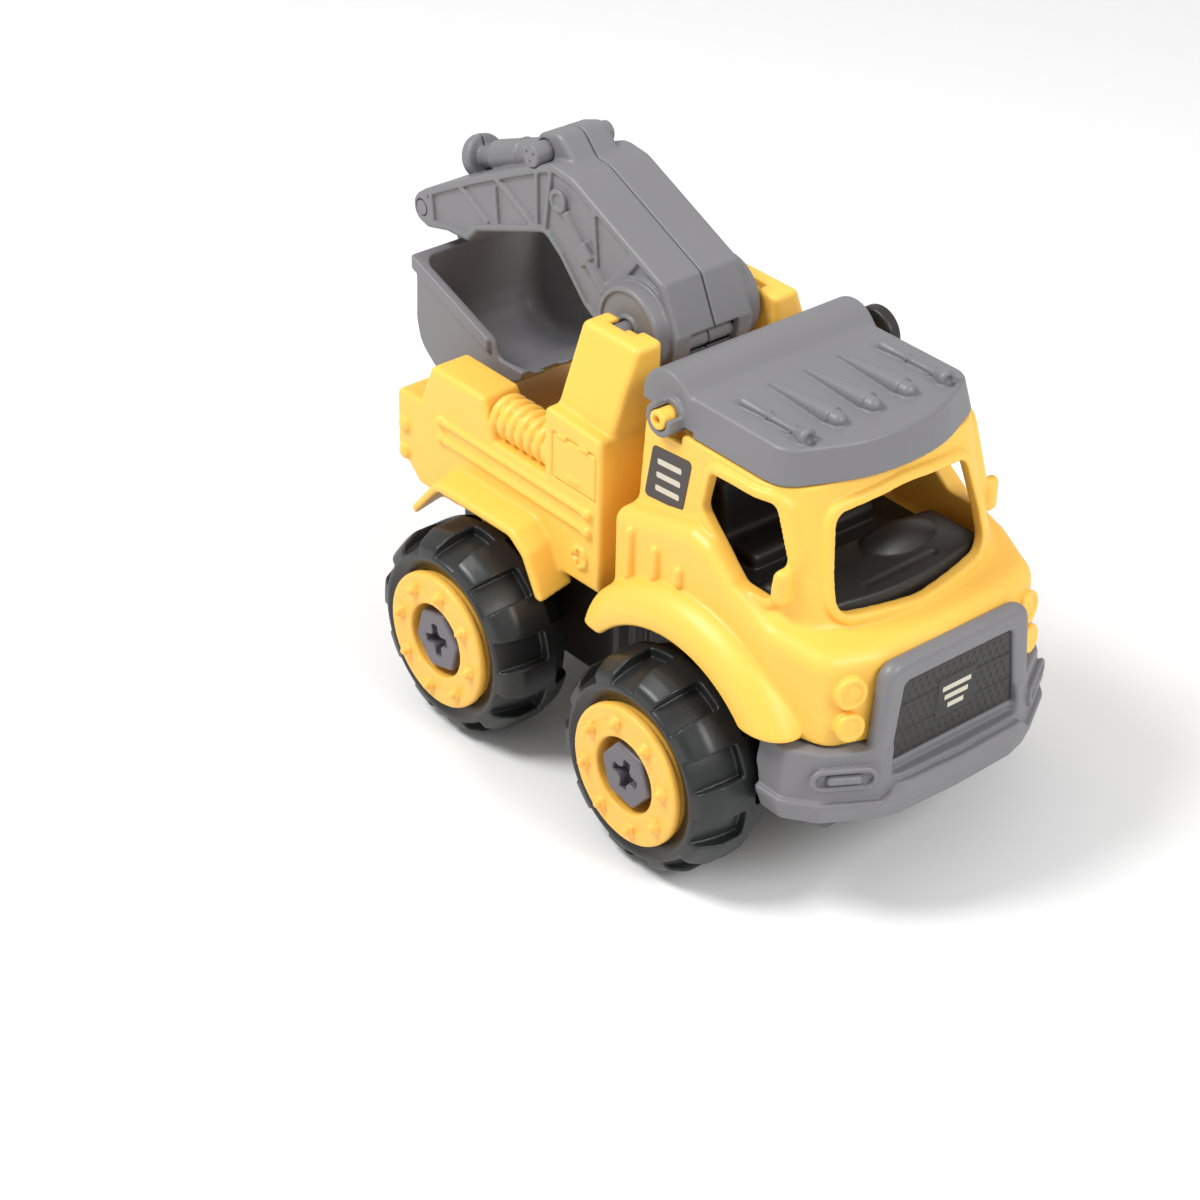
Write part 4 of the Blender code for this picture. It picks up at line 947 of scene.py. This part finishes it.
boom_right = mirror_y(mesh_of("boom_right", boom_half(False)), "boom_right")
piece("boom_moulding_left", boom_half(True), GREY, "boom", "boom_half_left")
piece("boom_moulding_right", boom_right, GREY, "boom", "boom_half_right")


def knee_pin():
    """A pin across the knee, with three small dimples in each end."""
    form = Form((-67.0, -58.5), (0.0, 13.2), (129.0, 137.5), 0.22)
    form.add(rod_y(KNEE, (-12.4, 12.4), 2.9, 0.5))
    for turn in (math.radians(a) for a in (30, 150, 270)):
        dimple = (KNEE[0] + 1.5 * math.cos(turn), KNEE[1] + 1.5 * math.sin(turn))
        form.cut(rod_y(dimple, (12.0, 14.0), 0.4, 0.05), blend=0.15)
    return form


piece("knee_pin_moulding", knee_pin(), GREY, "boom", "knee_pin")


BUCKET_RIM = ((-101.3, 94.1), (-68.6, 82.4))
BUCKET_SIDE = rounded([
    (-101.3, 94.1, 0.4), (-100.7, 87.0, 3), (-101.0, 76.0, 8), (-99.4, 69.6, 9),
    (-92.5, 64.2, 9), (-86.0, 63.3, 9), (-78.0, 65.2, 9), (-66.0, 70.6, 9), (-57.2, 75.9, 0.5),
    (-56.8, 78.4, 0.5), (-66.6, 78.2, 2), (-68.6, 82.4, 1.5),
])
BUCKET_ROOM = rounded([
    (-99.4, 110.0, 0), (-99.3, 92.0, 0), (-98.9, 76.0, 8), (-97.2, 70.6, 9), (-91.6, 66.0, 9),
    (-86.0, 65.3, 9), (-78.6, 67.0, 9), (-66.4, 72.5, 9), (-50.0, 80.4, 0), (-50.0, 110.0, 0),
])


def bucket_rim(x, y, z):
    """A band round the bucket, just below the slanting top of its side walls."""
    (x0, z0), (x1, z1) = BUCKET_RIM
    below = (z0 + (z1 - z0) / (x1 - x0) * (x - x0) - z) * 0.94
    band = np.maximum(below - 3.6, -below)
    around = round_max(np.maximum(-101.6 - x, x + 69.4), y - 20.4, 0.8)
    return round_max(band, around, 0.5)


def bucket():
    form = Form((-104.0, -54.5), (0.0, 22.0), (61.0, 108.0), 0.3)
    everywhere = ((-105, 0, 60), (-50, 24, 110))

    def shell(x, y, z):
        return round_max(outline_distance(x, z, BUCKET_SIDE), y - 19.3, 0.6)

    def room(x, y, z):
        return round_max(outline_distance(x, z, BUCKET_ROOM), y - 17.9, 4.0)

    form.add((shell, everywhere))
    form.add((bucket_rim, everywhere), blend=0.8)
    form.cut((room, everywhere), blend=0.4)
    form.cut(block((-60.4, -50.0), (4.5, 11.3), (65.0, 85.0), 0.4), blend=0.5)
    lug = arc(BUCKET_PIN, 3.4, 30, 210, 14) + [(-102.4, 90.5), (-99.6, 86.0), (-99.6, 92.6)]
    form.add(plate("XZ", lug, -3.4, 3.4, 0.5), blend=0.8)
    form.cut(rod_y(BUCKET_PIN, (-10, 10), BUCKET_PIN_R))
    return form


piece("bucket_moulding", bucket(), GREY, "bucket_body", "bucket")


# Wheels, built about their own axle on the truck's left side

LUGS, RIM_BUMPS, BUMP_CIRCLE_R = 10, 8, 14.1
TYRE_PROFILE = rounded([
    (18.6, 55.0, 0.3), (21.6, 56.6, 1.2), (25.0, 55.6, 3.0), (27.4, 50.5, 6.0),
    (27.4, 40.0, 6.0), (25.6, 35.4, 2.5), (20.5, 34.8, 1.0), (17.8, 34.8, 0.0),
    (17.8, 54.5, 0.0),
])


def hexagon(x, z, radius):
    """The corners of a hexagon round (x, z), the first of them straight out from the axle."""
    turns = [math.atan2(z, x) + math.tau * k / 6 for k in range(6)]
    return [(x + radius * math.cos(turn), z + radius * math.sin(turn)) for turn in turns]


def tyre():
    form = Form((-28.5, 28.5), (33.5, 57.8), (-28.5, 28.5), 0.34, mirrored=False)
    everywhere = ((-30, 30, -30), (30, 60, 30))
    body, _ = spun(0.0, 0.0, TYRE_PROFILE)
    form.add((body, everywhere))

    def pockets(x, y, z, offset, outer):
        """Recesses between the lugs, sunk evenly below the tyre's own surface."""
        span = math.tau / LUGS
        angle = np.arctan2(z, x) / span + offset
        angle = (angle - np.round(angle)) * span
        out = np.sqrt(x * x + z * z)
        wide = np.abs(np.sin(angle) * out) - 4.0
        ends = 43.6 - y if outer else y - 40.8
        floor = 25.0 - 0.0145 * (y - (43.6 if outer else 42.0)) ** 2 * (1.0 if outer else 2.6) - out
        return round_max(round_max(wide, ends, 0.7), floor, 0.3)

    form.cut((lambda x, y, z: pockets(x, y, z, 0.0, True), everywhere), blend=0.35)
    form.cut((lambda x, y, z: pockets(x, y, z, 0.5, False), everywhere), blend=0.35)
    return form


RIM_PROFILE = [
    (9.9, 57.8), (10.4, 58.2), (17.4, 58.2), (18.0, 57.9), (18.2, 57.3), (18.2, 55.8), (17.5, 55.8),
    (17.5, 35.2), (15.3, 35.2), (15.3, 46.8), (7.0, 46.8), (7.0, 35.2), (4.3, 35.2), (4.3, 49.0),
    (9.4, 49.0), (9.9, 49.5),
]


def rim():
    form = Form((-19.0, 19.0), (34.2, 60.8), (-19.0, 19.0), 0.3, mirrored=False)
    form.add((spun(0.0, 0.0, RIM_PROFILE)[0], ((-20, 34, -20), (20, 59, 20))))
    form.cut(ring((0, 58.5, 0), (0, 1, 0), BUMP_CIRCLE_R, 0.42), blend=0.3)
    for bump in range(RIM_BUMPS):
        turn = math.tau * (bump + 0.5) / RIM_BUMPS
        x, z = BUMP_CIRCLE_R * math.cos(turn), BUMP_CIRCLE_R * math.sin(turn)
        form.add(plate("XZ", hexagon(x, z, 2.0), 57.0, 59.0, 0.2), blend=0.15)
        form.add(ball((x, 58.9, z), 1.3, (1.0, 1.2, 1.0)), blend=0.1)
    return form


def wheel_bolt():
    """A bolt with a chamfered hexagon head, a cross recess and a round shank."""
    form = Form((-9.5, 9.5), (19.4, 58.6), (-9.5, 9.5), 0.26, mirrored=False)
    sides, box = plate("XZ", hexagon(0.0, 0.0, 8.7), 49.3, 57.7, 0.6)

    def head(x, y, z):
        chamfer = (np.sqrt(x * x + z * z) - 8.3 + (y - 57.7)) * 0.7
        return round_max(sides(x, y, z), chamfer, 0.5)

    form.add((head, box))
    form.add(rod_y((0, 0), (20.0, 51.0), 4.0, 0.4), blend=0.6)
    for x, z in ((4.3, 1.15), (1.15, 4.3)):
        form.cut(block((-x, x), (54.4, 60.0), (-z, z), 0.35), blend=0.2)
    form.cut(rod_y((0, 0), (54.0, 60.0), 1.9, 0.1, 2.5), blend=0.3)
    return form


def wheels():
    """Each piece of a wheel, made once about the world's origin and copied to its four places."""
    parts = (("tyre", tyre(), TYRE), ("rim", rim(), RIM_YELLOW), ("wheel_bolt", wheel_bolt(), BOLT_GREY))
    turns = {"front_right": 10.0, "rear_right": -14.0, "front_left": 25.0, "rear_left": 4.0}
    for name, form, colour in parts:
        mesh = mesh_of(name, form)
        mesh.transform(Matrix.Translation(-Vector(ORIGIN) * MM))
        for place, turn in turns.items():
            copy = mesh.copy()
            copy.transform(Matrix.Rotation(math.radians(turn), 4, "Y"))
            if place.endswith("right"):
                copy = mirror_y(copy, name)
            axle = FRONT_AXLE if place.startswith("front") else REAR_AXLE
            copy.transform(Matrix.Translation(Vector((axle + ORIGIN[0], 0.0, AXLE_Z + ORIGIN[2])) * MM))
            body = "truck" if name == "wheel_bolt" else f"wheel_{place}"
            piece(f"{name}_moulding_{place}", copy, colour, body, f"{name}_{place}")


wheels()


# Chassis

def chassis():
    """A deep tray with ribbed sides, a panelled floor and tail, and bosses for the wheel bolts."""
    form = Form((-74.0, 70.5), (0.0, 36.0), (10.0, 46.5), 0.6)
    form.add(block((-72.0, 57.2), (-27.0, 27.0), (11.5, 45.0), 1.8))
    for x in (-66.0, -10.0, -4.0, 2.0, 54.0):
        form.add(block((x - 0.8, x + 0.8), (25.0, 27.7), (15.0, 43.5), 0.6), blend=0.4)
    form.cut(block((-80.0, -71.3), (-22.0, 22.0), (17.0, 37.5), 0.6), blend=0.4)
    form.add(block((-72.0, -70.0), (-1.0, 1.0), (16.0, 38.5), 0.4), blend=0.4)
    for start, end in zip((-56.0, -8.0, 16.0), (-20.0, 4.0, 42.5)):
        form.cut(block((start, end), (3.0, 22.0), (9.0, 12.3), 0.6), blend=0.4)
    form.cut(block((-69.6, 54.8), (-24.8, 24.8), (14.2, 60.0), 0.6))
    for x in (FRONT_AXLE, REAR_AXLE):
        form.add(rod_y((x, AXLE_Z), (17.7, 34.4), 7.5, 0.8), blend=1.0)
        form.cut(rod_y((x, AXLE_Z), (19.4, 40.0), 4.3))
    form.add(block((54.6, 68.5), (-31.5, 31.5), (17.5, 21.0), 0.8), blend=0.6)
    for x in CAB_BOLTS + REAR_BOLTS:
        form.add(rod((x, 0, 11.5), (x, 0, POST_BASE_Z), 6.0, 0.4), blend=0.5)
        form.cut(rod((x, 0, 5.0), (x, 0, 16.0), BOLT_HOLE_R, 0.1))
    form.cut(rod((*BUMPER_BOLT, 10.0), (*BUMPER_BOLT, 25.0), BOLT_HOLE_R, 0.1))
    return form


piece("chassis_moulding", chassis(), BLACK, "truck", "chassis")


# CAD nodes that stay as they are, in better materials

for node_name, obj in NODES.items():
    if obj.hide_render:
        continue
    kept = GREY
    if node_name.startswith(("body_bolt", "bumper_bolt")):
        kept = BOLT_GREY
    if node_name.startswith("boom_screw"):
        kept = STEEL
    obj.data.materials.clear()
    obj.data.materials.append(kept)


# Floor, lights and camera, in metres and degrees

FLOOR_HALF = 6.0
CAMERA_PLACE = (0.46482, -0.42593, 0.43815)
CAMERA_AZIMUTH, CAMERA_ELEVATION, CAMERA_ROLL = 40.526, 32.911, 1.197
CAMERA_LENS = 88.48


def floor():
    material = bpy.data.materials.new("floor_white")
    material.use_nodes = True
    shader = material.node_tree.nodes["Principled BSDF"]
    shader.inputs["Base Color"].default_value = (0.86, 0.86, 0.86, 1.0)
    shader.inputs["Roughness"].default_value = 0.9
    mesh = bpy.data.meshes.new("floor")
    corners = [(x * FLOOR_HALF, y * FLOOR_HALF, 0) for x, y in ((-1, -1), (1, -1), (1, 1), (-1, 1))]
    mesh.from_pydata(corners, [], [(0, 1, 2, 3)])
    mesh.materials.append(material)
    obj = bpy.data.objects.new("floor", mesh)
    bpy.context.scene.collection.objects.link(obj)


def area_light(name, place, target, size, power):
    """A round white light turned towards its target."""
    lamp = bpy.data.lights.new(name, "AREA")
    lamp.shape = "DISK"
    lamp.size = size
    lamp.energy = power
    obj = bpy.data.objects.new(name, lamp)
    obj.location = place
    obj.rotation_euler = (Vector(target) - Vector(place)).to_track_quat("-Z", "Y").to_euler()
    bpy.context.scene.collection.objects.link(obj)


def lights():
    world = bpy.data.worlds.new("studio")
    bpy.context.scene.world = world
    world.use_nodes = True
    background = world.node_tree.nodes["Background"]
    background.inputs["Color"].default_value = (1.0, 1.0, 1.0, 1.0)
    background.inputs["Strength"].default_value = 0.62
    middle = (0.0, 0.0, 0.06)
    area_light("key", (-0.25, -0.5, 0.85), middle, 0.35, 7.5)
    area_light("front", (0.9, 0.15, 0.8), middle, 0.5, 6.5)


def camera():
    data = bpy.data.cameras.new("camera")
    data.sensor_width = 36.0
    data.lens = CAMERA_LENS
    data.clip_start, data.clip_end = 0.01, 20.0
    angles = (CAMERA_AZIMUTH, CAMERA_ELEVATION, CAMERA_ROLL)
    azimuth, elevation, roll = (math.radians(a) for a in angles)
    level = math.cos(elevation)
    forward = Vector((-level * math.cos(azimuth), level * math.sin(azimuth), -math.sin(elevation)))
    right = forward.cross(Vector((0, 0, 1))).normalized()
    up = right.cross(forward)
    across = math.cos(roll) * right + math.sin(roll) * up
    upward = -math.sin(roll) * right + math.cos(roll) * up
    turn = Matrix((across, upward, -forward)).transposed().to_4x4()
    obj = bpy.data.objects.new("camera", data)
    obj.matrix_world = Matrix.Translation(CAMERA_PLACE) @ turn
    bpy.context.scene.collection.objects.link(obj)
    bpy.context.scene.camera = obj


bpy.context.scene.view_settings.view_transform = "Standard"
floor()
lights()
camera()
